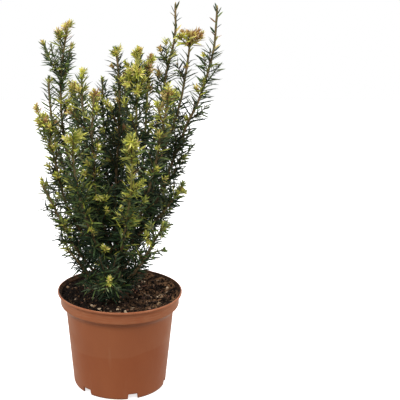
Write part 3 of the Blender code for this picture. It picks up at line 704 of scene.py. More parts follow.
trunkAxis, leaderPaths = planStems()
leaderLengths = np.linalg.norm(np.diff(leaderPaths, axis=1), axis=2).sum(axis=1)
boughShares = np.array([row[5] for row in stems.values()])
lookColumns = list(zip(*looks.values()))
lowMix, highMix, tipMix = (np.array([mixes[name] for name in column]) for column in lookColumns[:3])
tuftChance, *lengths, shootsPerMetre, fanned = (np.array(column) for column in lookColumns[3:])
bareLength, plumeLength, shootSpread = (column / 1000 for column in lengths)
print("crown planned,", len(stems), "stems")


# Positions and frames at shares of the way along chosen paths.
def alongPaths(paths, which, share):
    place = share * (paths.shape[1] - 1)
    low = np.clip(np.floor(place).astype(int), 0, paths.shape[1] - 2)
    part = (place - low)[:, None]
    spots = paths[which, low] * (1 - part) + paths[which, low + 1] * part
    return (spots, *(side[which, low] for side in framesOf(paths)))


# True where a point lies in the crown's own reach, above the soil and clear of the pot.
def inReach(points, room=0.0010, clear=0.0015):
    inside = ((points > cadLow - room) & (points < cadHigh + room)).all(axis=-1)
    x, y, z = np.moveaxis(points, -1, 0)
    inside &= z > soilHeight(x, y) + 0.0008
    return inside & ((z > pot["height"] + clear) | (np.hypot(x, y) < innerRadius - clear))


# Tubes along many paths at once: each corner lies at the path's point plus its radius, turned by the
# corner's angle from across to over. Each end closes to a point on its axis.
def tubesAlong(paths, radii, sides, relief=1.0):
    many, length = paths.shape[:2]
    tangent, across, over = framesOf(paths)
    turn = np.arange(sides) * 2 * np.pi / sides
    out = turnedBy(turn, across[:, :, None], over[:, :, None])
    rings = paths[:, :, None] + out * (radii[:, :, None] * relief)[..., None]
    ends = np.stack([paths[:, 0], paths[:, -1] + tangent[:, -1] * radii[:, -1:] * 0.8], axis=1)
    points = np.concatenate([rings.reshape(-1, 3), ends.reshape(-1, 3)])
    side = np.arange(sides)
    after = (side + 1) % sides
    start = (np.arange(many) * length * sides)[:, None]
    quads = (start[..., None] + ringQuads(length, sides)).reshape(-1, 4)
    last = start + (length - 1) * sides
    tip = (many * length * sides + 2 * np.arange(many))[:, None]
    caps = [np.stack([tip + 0 * side, start + after, start + side], axis=-1).reshape(-1, 3),
            np.stack([tip + 1 + 0 * side, last + side, last + after], axis=-1).reshape(-1, 3)]
    return points, [quads, *caps]


# The finish of every face of a set of tubes: that of its tube.
def perTube(each, length, sides):
    return np.concatenate([np.repeat(each, faces) for faces in ((length - 1) * sides, sides, sides)])


# Limbs: the trunk and the stems, with flaking bark that fades into smooth green wood

limbs = {
    "bark": (88, 64, 46), "barkRed": (114, 74, 52), "barkGrey": (128, 112, 90),
    "green": (104, 96, 58), "olive": (138, 116, 78), "fresh": (164, 160, 78),
    "trunkSides": 48, "boughSides": 20, "leaderSides": 12,
    "rootRadius": 0.0028, "tipRadius": 0.0015, "leastBough": 0.10,
}


# Old bark of red and grey flakes blends into olive young wood, and that into fresh green, by youth.
def makeBark():
    made = newMaterial("yewBark", limbs["bark"], 0.82)
    flakes = noiseShare(made, 210, 0.42, 0.60, (1, 1, 0.35), 4.0)
    flakes = blendColours(made, flakes, limbs["bark"], limbs["barkRed"])
    grey = worked(made, noiseShare(made, 90, 0.55, 0.72, (1, 1, 0.5), 4.0), 0.6)
    old = blendColours(made, grey, flakes, limbs["barkGrey"])
    young = blendColours(made, noiseShare(made, 70), limbs["green"], limbs["olive"])
    youth = addNode(made, "ShaderNodeAttribute", attribute_name="youth").outputs["Fac"]
    wood = blendColours(made, youth, old, young)
    wire(made, blendColours(made, ranged(made, youth, 1.0, 1.5), wood, limbs["fresh"]), "Base Color")
    addBump(made, noiseShare(made, 700, 0.3, 0.7, (1, 1, 0.4), 4.0), 0.0003, 0.8)
    return made


# How thick a stem is by its share: the bough's taper first, then a finer one to the tip.
def stemRadius(share, bough):
    low = np.where(bough > 0, crown["boughRadius"], limbs["rootRadius"])
    high = crown["boughEndRadius"] - 0.0001 * (bough == 0)
    split = np.maximum(bough, limbs["leastBough"])
    lower = low + (high - low) * np.clip(share / split, 0, 1)
    upper = np.clip((share - split) / (1 - split), 0, 1)
    return lower + (limbs["tipRadius"] - high) * upper ** 1.1


# Writes how young the wood is at each corner of a set of tubes.
def setYouth(piece, share, sides):
    values = np.concatenate([np.repeat(share.ravel(), sides), share[:, [0, -1]].ravel()])
    piece.data.attributes.new("youth", "FLOAT", "POINT").data.foreach_set("value", values.astype(np.float32))


# The trunk widens into its roots by exp(-height / flareHeight), in five soft ridges, under flakes of bark.
def makeTrunk(bark, rows=150):
    path = resampled(trunkAxis, rows)[None]
    turn = np.arange(limbs["trunkSides"]) * 2 * np.pi / limbs["trunkSides"]
    height = path[0, :, 2:]
    radii = trunkRadii(rows)[:, None] + crown["flare"] * np.exp(-(height - height[0]) / crown["flareHeight"])
    skin = np.stack(np.broadcast_arrays(np.cos(turn) * radii, np.sin(turn) * radii, height), axis=-1)
    roots = 0.10 * np.cos(5 * turn + 0.8) * np.exp(-(height - height[0]) / 0.016)
    flakes = 0.06 * np.round(2 * lumps(skin, (0.0026, 0.0026, 0.0075), 21)) / 2
    flakes = flakes + 0.04 * lumps(skin, (0.0012, 0.0012, 0.004), 22)
    points, faces = tubesAlong(path, radii.T, limbs["trunkSides"], (1 + roots + flakes)[None])
    trunk = addPiece("yewTrunk", points, faces, [bark], replaced=["trunk"])
    trunk.data.attributes.new("youth", "FLOAT", "POINT")


# Each stem between two of its rows, evenly spaced again, and its radii there.
def stretches(starts, ends, count):
    rows = np.arange(leaderPaths.shape[1])
    radii = stemRadius(np.linspace(0, 1, len(rows)), boughShares[:, None])
    paths = [resampled(path[start:end + 1], count) for path, start, end in zip(leaderPaths, starts, ends)]
    wanted = [np.linspace(start, end, count) for start, end in zip(starts, ends)]
    return np.array(paths), np.array([np.interp(places, rows, row) for places, row in zip(wanted, radii)])


# The lower part of each stem is rough with small knots. The upper part is thin, knobbly and ever younger.
def makeStems(bark, low=60, high=120):
    last, sides = leaderPaths.shape[1] - 1, limbs["boughSides"]
    split = (np.maximum(boughShares, limbs["leastBough"]) * last).astype(int)
    paths, radii = stretches(0 * split, split, low)
    turn = np.arange(sides) * 2 * np.pi / sides
    ring = [np.cos(turn) * 0.003, np.sin(turn) * 0.003, np.linspace(0, 0.07, low)[:, None]]
    knots = np.stack(np.broadcast_arrays(*ring), axis=-1) + np.arange(len(stems))[:, None, None, None] * 0.03
    relief = 1 + 0.08 * lumps(knots, (0.0018, 0.0018, 0.006), 23)
    relief = relief + 0.05 * lumps(knots, (0.0009, 0.0009, 0.003), 24)
    points, faces = tubesAlong(paths, radii, sides, relief)
    carried = [name for name in nodeNames if name.startswith("bough_")]
    boughs = addPiece("yewBoughs", points, faces, [bark], replaced=carried)
    setYouth(boughs, np.repeat(np.linspace(0, 0.25, low)[None], len(stems), axis=0), sides)

    paths, radii = stretches(np.maximum(split - 2, 0), 0 * split + last, high)
    order, up = np.arange(high), np.linspace(0, 1, high)
    knobs = 1 + 0.10 * np.sin(order * 2.39996)[None] * np.sin(order * 0.9)[None]
    points, faces = tubesAlong(paths, radii * knobs, limbs["leaderSides"])
    leaders = addPiece("yewLeaders", points, faces, [bark])
    newest = (plumeLength > 0.03)[:, None] * 0.8
    setYouth(leaders, 0.30 + 0.65 * up ** 0.6 + newest * up ** 1.5, limbs["leaderSides"])


# Growth: side shoots, twigs and fresh tufts, all as sets of paths, and the needles that they carry

growth = {
    "golden": 137.5, "shootAngle": (30, 46), "lift": 3.0, "shootRadius": 0.00105, "twigRadius": 0.00070,
    "twigStep": 0.0130, "twigShare": 0.46, "pitch": 0.0018, "plumePitch": 0.0010, "flat": 0.45,
    "stemFlat": 0.70, "needleLength": 0.0245, "needleWidth": 0.0024, "needleRoll": 0.70,
    "tuftLength": 0.0070, "tuftNeedle": 0.0098, "tuftWidth": 0.0022, "tuftNeedles": 14, "tuftLift": 12,
    "stalkRadius": 0.0008, "limeBelow": 0.34, "leastShoot": 0.008, "leastTwig": 0.006,
    "edgeHeights": (0.14, 0.20, 0.30, 0.40, 0.50, 0.58),
    "edgeReaches": (0.055, 0.085, 0.105, 0.115, 0.130, 0.150),
    "longest": {"right_tall": 1.16},   # the stem with longer needles
    "ringShares": (0.0, 0.20, 0.68), "ringWidths": (0.28, 1.0, 0.86),  # a needle's rings: place and width
}

goldenAngle = np.radians(growth["golden"])
slender = np.array([growth["longest"].get(name, 1.0) for name in stemNames])

# Side shoots that stand out in the photo, by stem. Each has the row of pixels where it leaves the stem, the
# column and row of its tip, and how many millimetres the tip lies behind the stem. Then, where they aren't
# the usual ones, come its mix, its number of tufts, their mix and their size.
usualSprig = ("green", 0, "limeTip", 1.0)
sprigs = {
    "left_tall": [(84, 44, 45, 6, "green", 1, "goldTip", 0.8), (78, 51, 46, 4), (96, 69, 51, -8),
        (56, 60, 37, -6, "golden", 5, "goldTip", 1.1), (64, 71, 56, 4),
        (112, 74, 90, -12, "bright", 3, "goldTip"), (120, 52, 124, -14, "olive", 3, "goldTip"),
        (150, 58, 134, -10, "green", 1), (140, 62, 118, -8)],
    "left_outer": [(170, 56, 148, -4, "green", 2, "goldTip"), (190, 50, 170, -4, "green", 1),
        (140, 38, 111, -4, "olive", 3, "goldTip"), (156, 42, 124, 4, "olive", 2, "goldTip"),
        (200, 44, 182, 4, "green", 1), (140, 54, 118, -4)],
    "mid_left": [(130, 72, 112, -4, "olive", 2, "goldTip")],
    "centre_inner": [(120, 98, 104, -6, "olive", 2, "goldTip"), (140, 110, 120, -8, "green", 1),
        (160, 100, 140, 4), (170, 112, 150, 6), (180, 104, 162, 8), (190, 116, 172, 8)],
    "centre_tall": [(76, 120, 66, 10), (130, 112, 112, -10, "green", 1), (120, 108, 106, -6, "green", 2),
        (150, 104, 134, -4, "green", 1), (150, 126, 132, -6, "green", 1), (170, 110, 152, -10)],
    "centre_golden": [(84, 128, 66, -8, "golden", 3, "goldTip"), (84, 146, 69, -12, "golden", 4, "rustTip")],
    "centre_right": [(84, 140, 55, 4, "olive", 1), (96, 131, 80, -14, "plume", 4, "goldTip", 1.2),
        (90, 136, 72, -16, "plume", 4, "limeTip", 1.3), (110, 138, 92, -16, "bright", 4, "limeTip", 1.2),
        (100, 142, 83, -10, "plume", 3), (130, 126, 108, -8, "olive", 1), (150, 150, 128, -6, "green", 1),
        (160, 122, 140, 8), (175, 128, 158, 6)],
    "right_inner": [(66, 161, 52, -6, "olive", 1, "goldTip"), (70, 166, 46, -8, "olive", 1),
        (84, 158, 67, 6), (98, 159, 78, -4, "olive", 1, "goldTip"), (130, 148, 112, -6, "green", 1)],
    "right_mid": [(82, 177, 64, -6), (134, 184, 114, -4), (48, 181, 38, -8, "rustTip", 3, "goldTip", 0.9),
        (47, 184, 35, 2, "rustTip", 2, "rustTip", 0.9), (46, 188, 36, -6, "rustTip", 3, "goldTip", 0.9),
        (46, 192, 37, 6, "rustTip", 3, "goldTip", 0.9), (46, 196, 36, -4, "rustTip", 3, "rustTip", 0.9),
        (48, 200, 37, 4, "rustTip", 3, "rustTip", 0.9)],
    "right_tall": [(74, 204, 58, -8, "olive", 1, "limeTip", 0.9), (70, 210, 52, -8), (86, 218, 66, 6),
        (100, 203, 83, -8, "olive", 1), (122, 206, 106, 4), (158, 190, 130, -8), (172, 192, 146, 4),
        (190, 182, 162, -6, "green", 1), (168, 176, 140, -6), (156, 182, 126, -4), (150, 174, 130, -4)],
    "right_golden": [(110, 168, 92, -8, "golden", 3, "goldTip"),
        (126, 158, 108, -6, "golden", 2, "goldTip"), (150, 166, 134, 4, "green", 1)],
    "front_left": [(158, 64, 146, -8), (152, 73, 139, -14, "bright", 6, "limeTip", 1.4),
        (160, 84, 150, -4), (205, 62, 198, -6, "green", 1),
        (240, 92, 232, -16, "green", 2, "limeTip", 0.9), (262, 104, 250, -26, "green", 3, "limeTip", 0.8),
        (266, 98, 262, -20, "shadow"), (254, 90, 252, -18, "shadow"), (200, 84, 184, -8),
        (190, 66, 174, -8), (220, 78, 206, -12)],
    "front_centre": [(160, 129, 152, -8, "olive", 1, "limeTip", 1.2),
        (168, 131, 141, -12, "bright", 4, "limeTip", 1.2), (175, 144, 164, -6),
        (196, 139, 186, -10, "olive", 1), (216, 142, 204, -8, "green", 1), (212, 128, 200, -8, "green", 2),
        (246, 126, 238, -10, "green", 1), (258, 116, 250, -16, "shadow"), (262, 122, 258, -14, "shadow"),
        (226, 122, 212, -10, "green", 1), (232, 132, 222, -10, "green", 1)],
    "centre_left": [(160, 97, 150, -12, "olive", 1), (176, 96, 196, -30, "green", 2, "limeTip", 0.9),
        (224, 106, 211, -26, "green", 2, "limeTip", 0.9), (210, 105, 200, -22, "green", 2),
        (200, 88, 182, -14), (206, 112, 186, -14)],
    "foot_front": [(282, 109, 281, -20, "green", 3, "limeTip", 0.8), (286, 96, 284, -6, "shadow"),
        (286, 122, 276, -6, "shadow"), (288, 100, 278, -4, "shadow"), (288, 88, 288, -2, "shadow"),
        (284, 104, 292, -10, "shadow"), (284, 118, 290, -8, "shadow"), (276, 108, 268, -12, "shadow"),
        (270, 100, 258, -12, "shadow"), (268, 116, 256, -12, "shadow")],
    "foot_left": [(250, 64, 226, -8, "green", 2), (270, 78, 262, -8, "shadow"),
        (280, 88, 276, -16, "shadow"), (276, 84, 284, -14, "shadow")],
    "right_low": [(240, 152, 228, -6, "green", 2, "paleTip"), (244, 148, 238, -10, "green", 2),
        (232, 166, 224, 6), (270, 134, 258, -10, "shadow"), (262, 140, 250, -8)],
    "right_side": [(203, 181, 186, -4, "green", 2, "paleTip", 0.9), (208, 176, 196, -6, "green", 1),
        (216, 172, 192, 6, "shadow"), (224, 171, 206, 6, "shadow"), (210, 174, 184, 4)],
    "foot_right": [(280, 128, 278, -14, "shadow"), (272, 136, 270, -14, "shadow")],
    "back_centre": [(170, 112, 146, -8), (170, 132, 146, -8), (150, 112, 128, -8), (150, 130, 126, -6)],
}
sprigRows = [(stemNames.index(name), *row, *usualSprig[len(row) - 4:])
             for name, rows in sprigs.items() for row in rows]
tipShares = np.concatenate([tipMix, [mixes[row[7]] for row in sprigRows]])


# One shade for each row, by where its roll from 0 to 1 falls among the shares of a mix.
def shadeAt(rolls, shares):
    return (rolls[:, None] > np.cumsum(shares, axis=-1)).sum(axis=1).clip(0, 6)


# The mix of a stem goes from its low one to its high one on the way up.
def stemShades(rolls, stem, up):
    return shadeAt(rolls, lowMix[stem] * (1 - up[:, None]) + highMix[stem] * up[:, None])


# The same rows with only those kept.
def chosenRows(rows, kept):
    return {key: value[kept] for key, value in rows.items()}


# Sets of rows put end to end.
def joinRows(parts):
    return {key: np.concatenate([part[key] for part in parts]) for key in parts[0]}


# Owner and place in its row of every member, for rows of the given lengths.
def countedOff(counts):
    which = np.repeat(np.arange(len(counts)), counts)
    return which, np.arange(len(which)) - np.repeat(np.cumsum(counts) - counts, counts)


# How far up the leafy part of its stem a share lies, from 0 to 1.
def leafyShare(share, stem):
    return np.clip((share - boughShares[stem]) / (1 - boughShares[stem]), 0, 1)


# Paths from roots along directions that bend upwards: point = root + direction * way + lift * way^2 in
# height.
def liftedPaths(roots, directions, lengths, lift, count):
    way = np.linspace(0, 1, count)[None, :, None] * lengths[:, None, None]
    return roots[:, None] + directions[:, None] * way + np.array([0, 0, 1.0]) * lift * way ** 2


# The same, each cut short where it would leave the reach.
def bentPaths(roots, directions, lengths, count):
    good = inReach(liftedPaths(roots, directions, lengths, growth["lift"], count), -0.004)
    lengths = lengths * (np.where(good.all(axis=1), count, np.argmin(good, axis=1)) / count)
    return liftedPaths(roots, directions, lengths, growth["lift"], count), lengths


# Side shoots by rule: golden-angle azimuths up the stem, wide below and steep above, shorter towards the
# tip.
def growShoots(random):
    low = np.maximum(boughShares * 0.45, 0.05)
    low = np.where([name.endswith("_low") for name in stemNames], 0.32, low)
    low = np.where([name.startswith("back") for name in stemNames], 0.06, low)
    high = 1 - (bareLength * 0.80 + plumeLength * 0.50 + 0.022) / leaderLengths
    counts = np.maximum(2, ((high - low) * leaderLengths * shootsPerMetre).astype(int))
    stem, order = countedOff(counts)
    many = len(stem)
    share = low[stem] + (high - low)[stem] * (order + random.uniform(0.2, 0.8, many)) / counts[stem]
    roots, along, across, over = alongPaths(leaderPaths, stem, share)
    out = turnedBy(goldenAngle * order + random.uniform(0, 2 * np.pi, len(stems))[stem], across, over)
    steep, wide = growth["shootAngle"]
    angle = wide + (steep - wide) * np.clip((roots[:, 2] - 0.16) / 0.22, 0, 1) + random.uniform(-8, 8, many)
    up = leafyShare(share, stem)
    length = shootSpread[stem] * (1 - 0.68 * up ** 1.4) * random.uniform(0.60, 1.10, many)
    paths, length = bentPaths(roots, unit(turnedBy(np.radians(angle), along, out)), length, 14)
    freshest = 2 + (random.random(many) < 0.50 * up)  # old shoots stay green, some high ones are fresh
    made = {"paths": paths, "length": length, "stem": stem, "up": up, "owner": stem,
            "shade": np.minimum(stemShades(random.random(many), stem, up), freshest),
            "roll": np.radians(random.uniform(-70, 70, many)),
            "tufts": np.zeros(many), "size": np.ones(many)}
    return chosenRows(made, length > growth["leastShoot"])


# The side shoots read from the photo: curves from the stem's point on that row to the one behind the tip's
# pixel.
def growSprigs(random):
    paths = []
    for which, height, column, row, behind, *_ in sprigRows:
        leader = leaderPaths[which]
        at = int(np.argmin(np.abs(pixelsOf(leader)[:, 1] - height)))
        near = min(at, len(leader) - 2)
        tip = pointAt(column, row, leader[at, 1] + behind / 1000)
        along, aim = unit(leader[near + 1] - leader[near]), unit(tip - leader[at])
        paths.append(curveBetween(leader[at], tip, unit(along + 1.4 * aim), unit(aim + [0, 0, 0.5]), 14))
    stem, *_, mix, tufts, _, size = zip(*sprigRows)
    paths, many = np.array(paths), len(paths)
    shares = np.cumsum([mixes[name] for name in mix], axis=1)
    return {"paths": paths, "length": np.linalg.norm(np.diff(paths, axis=1), axis=2).sum(axis=1),
            "stem": np.array(stem), "up": np.ones(many), "owner": len(stems) + np.arange(many),
            "shade": (random.uniform(0.3, 0.8, (many, 1)) > shares).sum(axis=1).clip(0, 6),
            "roll": np.radians(random.uniform(-25, 25, many)),
            "tufts": np.array(tufts, float), "size": np.array(size, float)}


# Twigs leave their shoot left and right in its own rolled plane.
def growTwigs(shoots, random):
    which, order = countedOff(np.clip((shoots["length"] / growth["twigStep"]).astype(int) - 1, 0, 4))
    many = len(which)
    share = 0.18 + 0.17 * order + random.uniform(0, 0.12, many)
    roots, along, across, over = alongPaths(shoots["paths"], which, share)
    rank = turnedBy(shoots["roll"][which], across, over) * np.where(order % 2, 1, -1)[:, None]
    direction = unit(turnedBy(np.radians(random.uniform(30, 48, many)), along, rank))
    length = shoots["length"][which] * growth["twigShare"] * (1 - 0.45 * share)
    paths, length = bentPaths(roots, direction, length * random.uniform(0.6, 1.15, many), 8)
    made = {**chosenRows(shoots, which), "paths": paths, "length": length,
            "tufts": np.zeros(many), "size": np.ones(many)}
    return chosenRows(made, length > growth["leastTwig"])


# Rows of needles, set round their paths by azimuth and angle: where each starts, where it points, which way
# its upper face looks, its length, width, bend and shade. That face looks to the shoot's tip, turned by a
# random roll.
def needlesAround(paths, which, share, turn, angle, length, width, shade, random, radius=0.0, roll=0.0,
                  flat=1.0):
    many = len(which)
    spots, along, across, over = alongPaths(paths, which, share)
    roll, radius, angle = (np.broadcast_to(value, many) for value in (roll, radius, angle))
    wide, upper = turnedBy(roll, across, over), turnedBy(roll, over, -across)
    out = unit(np.cos(turn)[:, None] * wide + flat * np.sin(turn)[:, None] * upper)
    direction, facing = turnedBy(angle, along, out), turnedBy(angle, -out, along)
    twist = random.normal(0, growth["needleRoll"], many)
    rows = {"base": spots + out * radius[:, None], "along": direction, "length": length,
            "normal": turnedBy(twist, facing, np.cross(direction, facing)),
            "width": width * random.uniform(0.85, 1.10, many), "bend": random.uniform(-0.24, 0.06, many),
            "shade": shade}
    middle = rows["base"] + direction * (length * 0.55)[:, None]
    tip = rows["base"] + direction * length[:, None] + rows["normal"] * (rows["bend"] * length)[:, None]
    return chosenRows(rows, inReach(middle) & inReach(tip))


# Needles all round the stems: azimuth by the golden angle, drawn a little to the stem's left and right,
# leaning in towards the tip, sparse and dry on a bare tip. Those of one stretch of stem mostly share a
# shade.
def leaderNeedles(random):
    stem, order = countedOff((leaderLengths / growth["pitch"]).astype(int))
    share = (order + 0.5) * growth["pitch"] / leaderLengths[stem]
    fromTip = (1 - share) * leaderLengths[stem]
    bare = fromTip < bareLength[stem]
    kept = (share > boughShares[stem] * 0.35 + 0.02) & (fromTip > plumeLength[stem])
    kept &= ~bare | (order % 2 == 0)
    stem, order, share, bare = (values[kept] for values in (stem, order, share, bare))
    many, up = len(stem), leafyShare(share, stem)
    stretch = random.random((len(stems), 40))[stem, order // 12 % 40]
    rolls = np.where(random.random(many) < 0.55, stretch, random.random(many))
    angle = np.radians(np.where(bare, 38, 60 - 18 * up ** 3) + random.uniform(-12, 12, many))
    dryLength = random.uniform(0.009, 0.016, many)
    leafy = growth["needleLength"] * slender[stem] * random.uniform(0.66, 1.16, many) * (1 - 0.26 * up ** 2)
    most = 0.0085 + 0.95 * (1 - share) * leaderLengths[stem] + 0.008 * bare  # none stands far over the tip
    length = np.minimum(np.where(bare, dryLength, leafy), most)
    shade = np.where(bare, shadeAt(rolls, mixes["dry"]), stemShades(rolls, stem, up))
    _, _, across, over = alongPaths(leaderPaths, stem, share)
    turn = goldenAngle * order + random.uniform(-0.3, 0.3, many)
    width, roll = growth["needleWidth"] * np.where(bare, 1.25, 1), np.arctan2(over[:, 0], across[:, 0])
    return needlesAround(leaderPaths, stem, share, turn, angle, length, width, shade, random,
                         stemRadius(share, boughShares[stem]) * 0.5, roll, growth["stemFlat"])


# Fresh plumes: the last stretch of a stem, with shorter needles that stand closer and hug it towards the
# tip.
def plumeNeedles(random):
    stem, order = countedOff((plumeLength / growth["plumePitch"]).astype(int))
    many, fromTip = len(stem), (order + 0.5) * growth["plumePitch"]
    part = 1 - fromTip / plumeLength[stem]
    chance = random.random(many)
    stretch = random.random((len(stems), 20))[stem, order // 8 % 20]
    rolls = np.where(chance < 0.4, stretch, random.random(many))
    angle = np.radians(48 - 26 * part ** 2 + random.uniform(-9, 9, many))
    length = (0.0150 - 0.0060 * part) * random.uniform(0.75, 1.15, many)
    share, shade = 1 - fromTip / leaderLengths[stem], shadeAt(rolls, tipShares[stem])
    return needlesAround(leaderPaths, stem, share, goldenAngle * order, angle, length,
                         growth["needleWidth"] * 0.92, shade, random, radius=0.0006)


# A shade for each needle: mostly its shoot's, sometimes the one before or after.
def nearShade(shade, least, random):
    return np.clip(shade + random.choice((-1, 0, 0, 0, 1), len(shade)), least, 6)


# Needles of a shoot: round it too, but drawn flat towards the two sides of its own rolled plane.
def shootNeedles(shoots, pitch, size, random):
    which, order = countedOff(np.maximum((shoots["length"] / pitch).astype(int), 4))
    many, whole = len(which), np.maximum(shoots["length"][which], 4 * pitch)
    share = np.clip(0.05 + 0.95 * (order + random.uniform(0.1, 0.9, many)) * pitch / whole, 0, 1)
    turn = goldenAngle * order + random.uniform(-0.3, 0.3, many)
    angle = np.radians(62 - 26 * share ** 3 + random.uniform(-9, 9, many))
    length = size * random.uniform(0.66, 1.12, many) * (1 - 0.30 * share ** 2)
    length = length * (1 - 0.18 * shoots["up"][which] ** 2)
    shade = nearShade(shoots["shade"][which], 0, random)
    return needlesAround(shoots["paths"], which, share, turn, angle, length, growth["needleWidth"], shade,
                         random, roll=shoots["roll"][which], flat=growth["flat"])


# Fresh tufts: a short new shoot with a rosette of small needles that opens from bud scales.
def growTufts(roots, directions, shades, sizes, random):
    length, each = growth["tuftLength"] * sizes, growth["tuftNeedles"]
    paths = liftedPaths(roots, directions, length, growth["tuftLift"], 5)
    tufts = {"paths": paths, "length": length, "shade": shades, "size": sizes}
    tufts = chosenRows(tufts, inReach(paths, -0.004).all(axis=1))
    which, order = countedOff(np.full(len(tufts["size"]), each))
    share = 0.08 + 0.92 * (order + 0.5) / each
    turn = goldenAngle * order + random.uniform(0, 2 * np.pi, len(tufts["size"]))[which]
    angle = np.radians(66 - 44 * share + random.uniform(-8, 8, len(which)))
    reach = growth["tuftNeedle"] * tufts["size"][which] * random.uniform(0.7, 1.15, len(which))
    reach = reach * np.sin(np.pi * (0.24 + 0.5 * share))
    shade = nearShade(tufts["shade"][which], 2, random)
    return tufts, needlesAround(tufts["paths"], which, share, turn, angle, reach, growth["tuftWidth"], shade,
                                random)


# Places on the stems and directions that lean out of them by a random azimuth.
def sideways(stem, share, ahead, random):
    spots, along, across, over = alongPaths(leaderPaths, stem, share)
    out = turnedBy(random.uniform(0, 2 * np.pi, len(stem)), across, over)
    return spots + out * 0.0008, unit(along * ahead + out)


# Where tufts open: at the ends of some shoots and twigs, along the stems, fanned round their tips and on
# them.
def placeTufts(shoots, twigs, random):
    ends = joinRows([shoots, {**twigs, "paths": np.array([resampled(path, 14) for path in twigs["paths"]])}])
    isShoot = np.arange(len(ends["up"])) < len(shoots["up"])
    chance = tuftChance[ends["stem"]] * (0.25 + 0.95 * ends["up"])
    chance = chance * np.where(isShoot, ends["owner"] < len(stems), 0.40)
    repeats = np.where(ends["tufts"] > 0, ends["tufts"], random.random(len(chance)) < chance).astype(int)
    which, order = countedOff(repeats)
    aim = unit(ends["paths"][which, -1] - ends["paths"][which, -3])
    aim = unit(aim + (order > 0)[:, None] * random.normal(0, 0.75, (len(which), 3)))
    places = ends["paths"][which, np.where(order > 0, 12, 13)]
    sizes = random.uniform(0.70, 1.15, len(which)) * ends["size"][which]
    sets = [(places, aim, sizes, ends["owner"][which])]

    stem, _ = countedOff(np.round(tuftChance * 14).astype(int))
    back = bareLength[stem] * 0.9 + random.random(len(stem)) ** 1.3 * 0.5 * leaderLengths[stem]
    placed = sideways(stem, 1 - back / leaderLengths[stem], 0.8, random)
    sets.append((*placed, random.uniform(0.7, 1.15, len(stem)), stem))
    stem, order = countedOff(fanned)
    back = 0.002 + 0.003 * order * random.uniform(0.6, 1.3, len(stem))
    placed = sideways(stem, 1 - back / leaderLengths[stem], 1.1, random)
    sets.append((*placed, random.uniform(0.7, 1.1, len(stem)), stem))
    stem = np.flatnonzero(bareLength == 0)
    aim = unit(leaderPaths[stem, -1] - leaderPaths[stem, -3])
    sets.append((leaderPaths[stem, -1], aim, np.full(len(stem), 0.70), stem))
    return [np.concatenate(column) for column in zip(*sets)]


# Needles deep in the crown are painted a shade or two darker than those at its edge, as painted shade where
# the crown shades itself. The front plumes stay bright.
def paintShadeByDepth(rows, random):
    x, y, z = rows["base"].T
    depth = 1 - np.hypot(x - 0.01, y) / np.interp(z, growth["edgeHeights"], growth["edgeReaches"])
    depth = depth * np.where(y < -0.045, 0.3, 1)
    paintedShade = (random.random(len(x)) < depth * 1.5).astype(int) + (random.random(len(x)) < depth * 0.9)
    return {**rows, "shade": np.clip(rows["shade"] - paintedShade, 0, 6)}


# A needle is carried along base + along * s * length + normal * bend * length * s^2. Its half width grows
# fast from the stalk, stays, and closes to a point, and its section is a flat rhomb whose upper ridge is
# the midrib.
def needleMesh(rows, tones):
    section = np.array([(-0.5, 0.0), (0.0, 0.20), (0.5, 0.0), (0.0, -0.12)])
    many = len(rows["length"])
    base, axis, normal = (rows[key][:, None, None] for key in ("base", "along", "normal"))
    side = np.cross(rows["along"], rows["normal"])[:, None, None]
    reach, width, bend = (rows[key][:, None, None, None] for key in ("length", "width", "bend"))
    way, wide = (np.array(growth[key])[None, :, None, None] for key in ("ringShares", "ringWidths"))
    centre = base + axis * reach * way + normal * reach * bend * way ** 2
    rings = centre + side * (width * wide) * section[:, :1] + normal * (width * wide) * section[:, 1:]
    tips = rows["base"] + (rows["along"] + rows["normal"] * rows["bend"][:, None]) * rows["length"][:, None]
    points = np.concatenate([rings.reshape(many, 12, 3), tips[:, None]], axis=1).reshape(-1, 3)
    corner = np.arange(4)
    quads = np.concatenate([ringQuads(3, 4), [[3, 2, 1, 0]]])
    trios = np.stack([8 + corner, 8 + (corner + 1) % 4, np.full(4, 12)], axis=1)
    first = (np.arange(many) * 13)[:, None, None]
    upper = np.array([True, True, False, False])
    tone = np.random.default_rng(17).integers(0, tones - 1, many)[:, None]
    facesUp = ([*upper, *upper, False], upper)  # of the quads, then of the trios
    finishOf = np.concatenate([np.where(lit, tone, tones - 1).ravel() for lit in facesUp])
    return points, [(first + quads).reshape(-1, 4), (first + trios).reshape(-1, 3)], finishOf


# Each shade is three near tones of the upper face and the paler underside, lightened further as a painted
# sheen, as plain colours.
shades = {
    "Deep": [(21, 36, 23), (28, 45, 28), (36, 55, 34), (78, 92, 70)],
    "Dark": [(44, 62, 36), (54, 73, 42), (64, 84, 50), (116, 130, 98)],
    "Mid": [(78, 99, 46), (93, 114, 54), (110, 128, 64), (143, 155, 110)],
    "Fresh": [(144, 150, 56), (160, 164, 66), (176, 176, 80), (170, 172, 94)],
    "Lime": [(204, 208, 82), (218, 216, 96), (230, 226, 124), (208, 204, 110)],
    "Gold": [(222, 200, 118), (232, 212, 138), (210, 184, 106), (212, 190, 120)],
    "Bronze": [(176, 136, 90), (192, 152, 108), (158, 118, 78), (180, 142, 104)],
}


# One piece of needles for each shade, so that no piece grows too large.
def makeNeedles(rows):
    masses = [name for name in nodeNames if name.startswith("foliage_")]
    for index, (label, colours) in enumerate(shades.items()):
        specular = 0.18 + 0.05 * index
        *upper, under = colours
        finishes = tonesOf("needle" + label, 0.42, specular, **dict(zip(("One", "Two", "Three"), upper)))
        finishes += tonesOf("needle" + label, 0.60, specular, Under=under)
        mine = chosenRows(rows, rows["shade"] == index)
        points, faces, finishOf = needleMesh(mine, len(finishes))
        addPiece("needles" + label, points, faces, finishes, finishOf, masses, smooth=False)
        print("needles", label, len(mine["length"]))


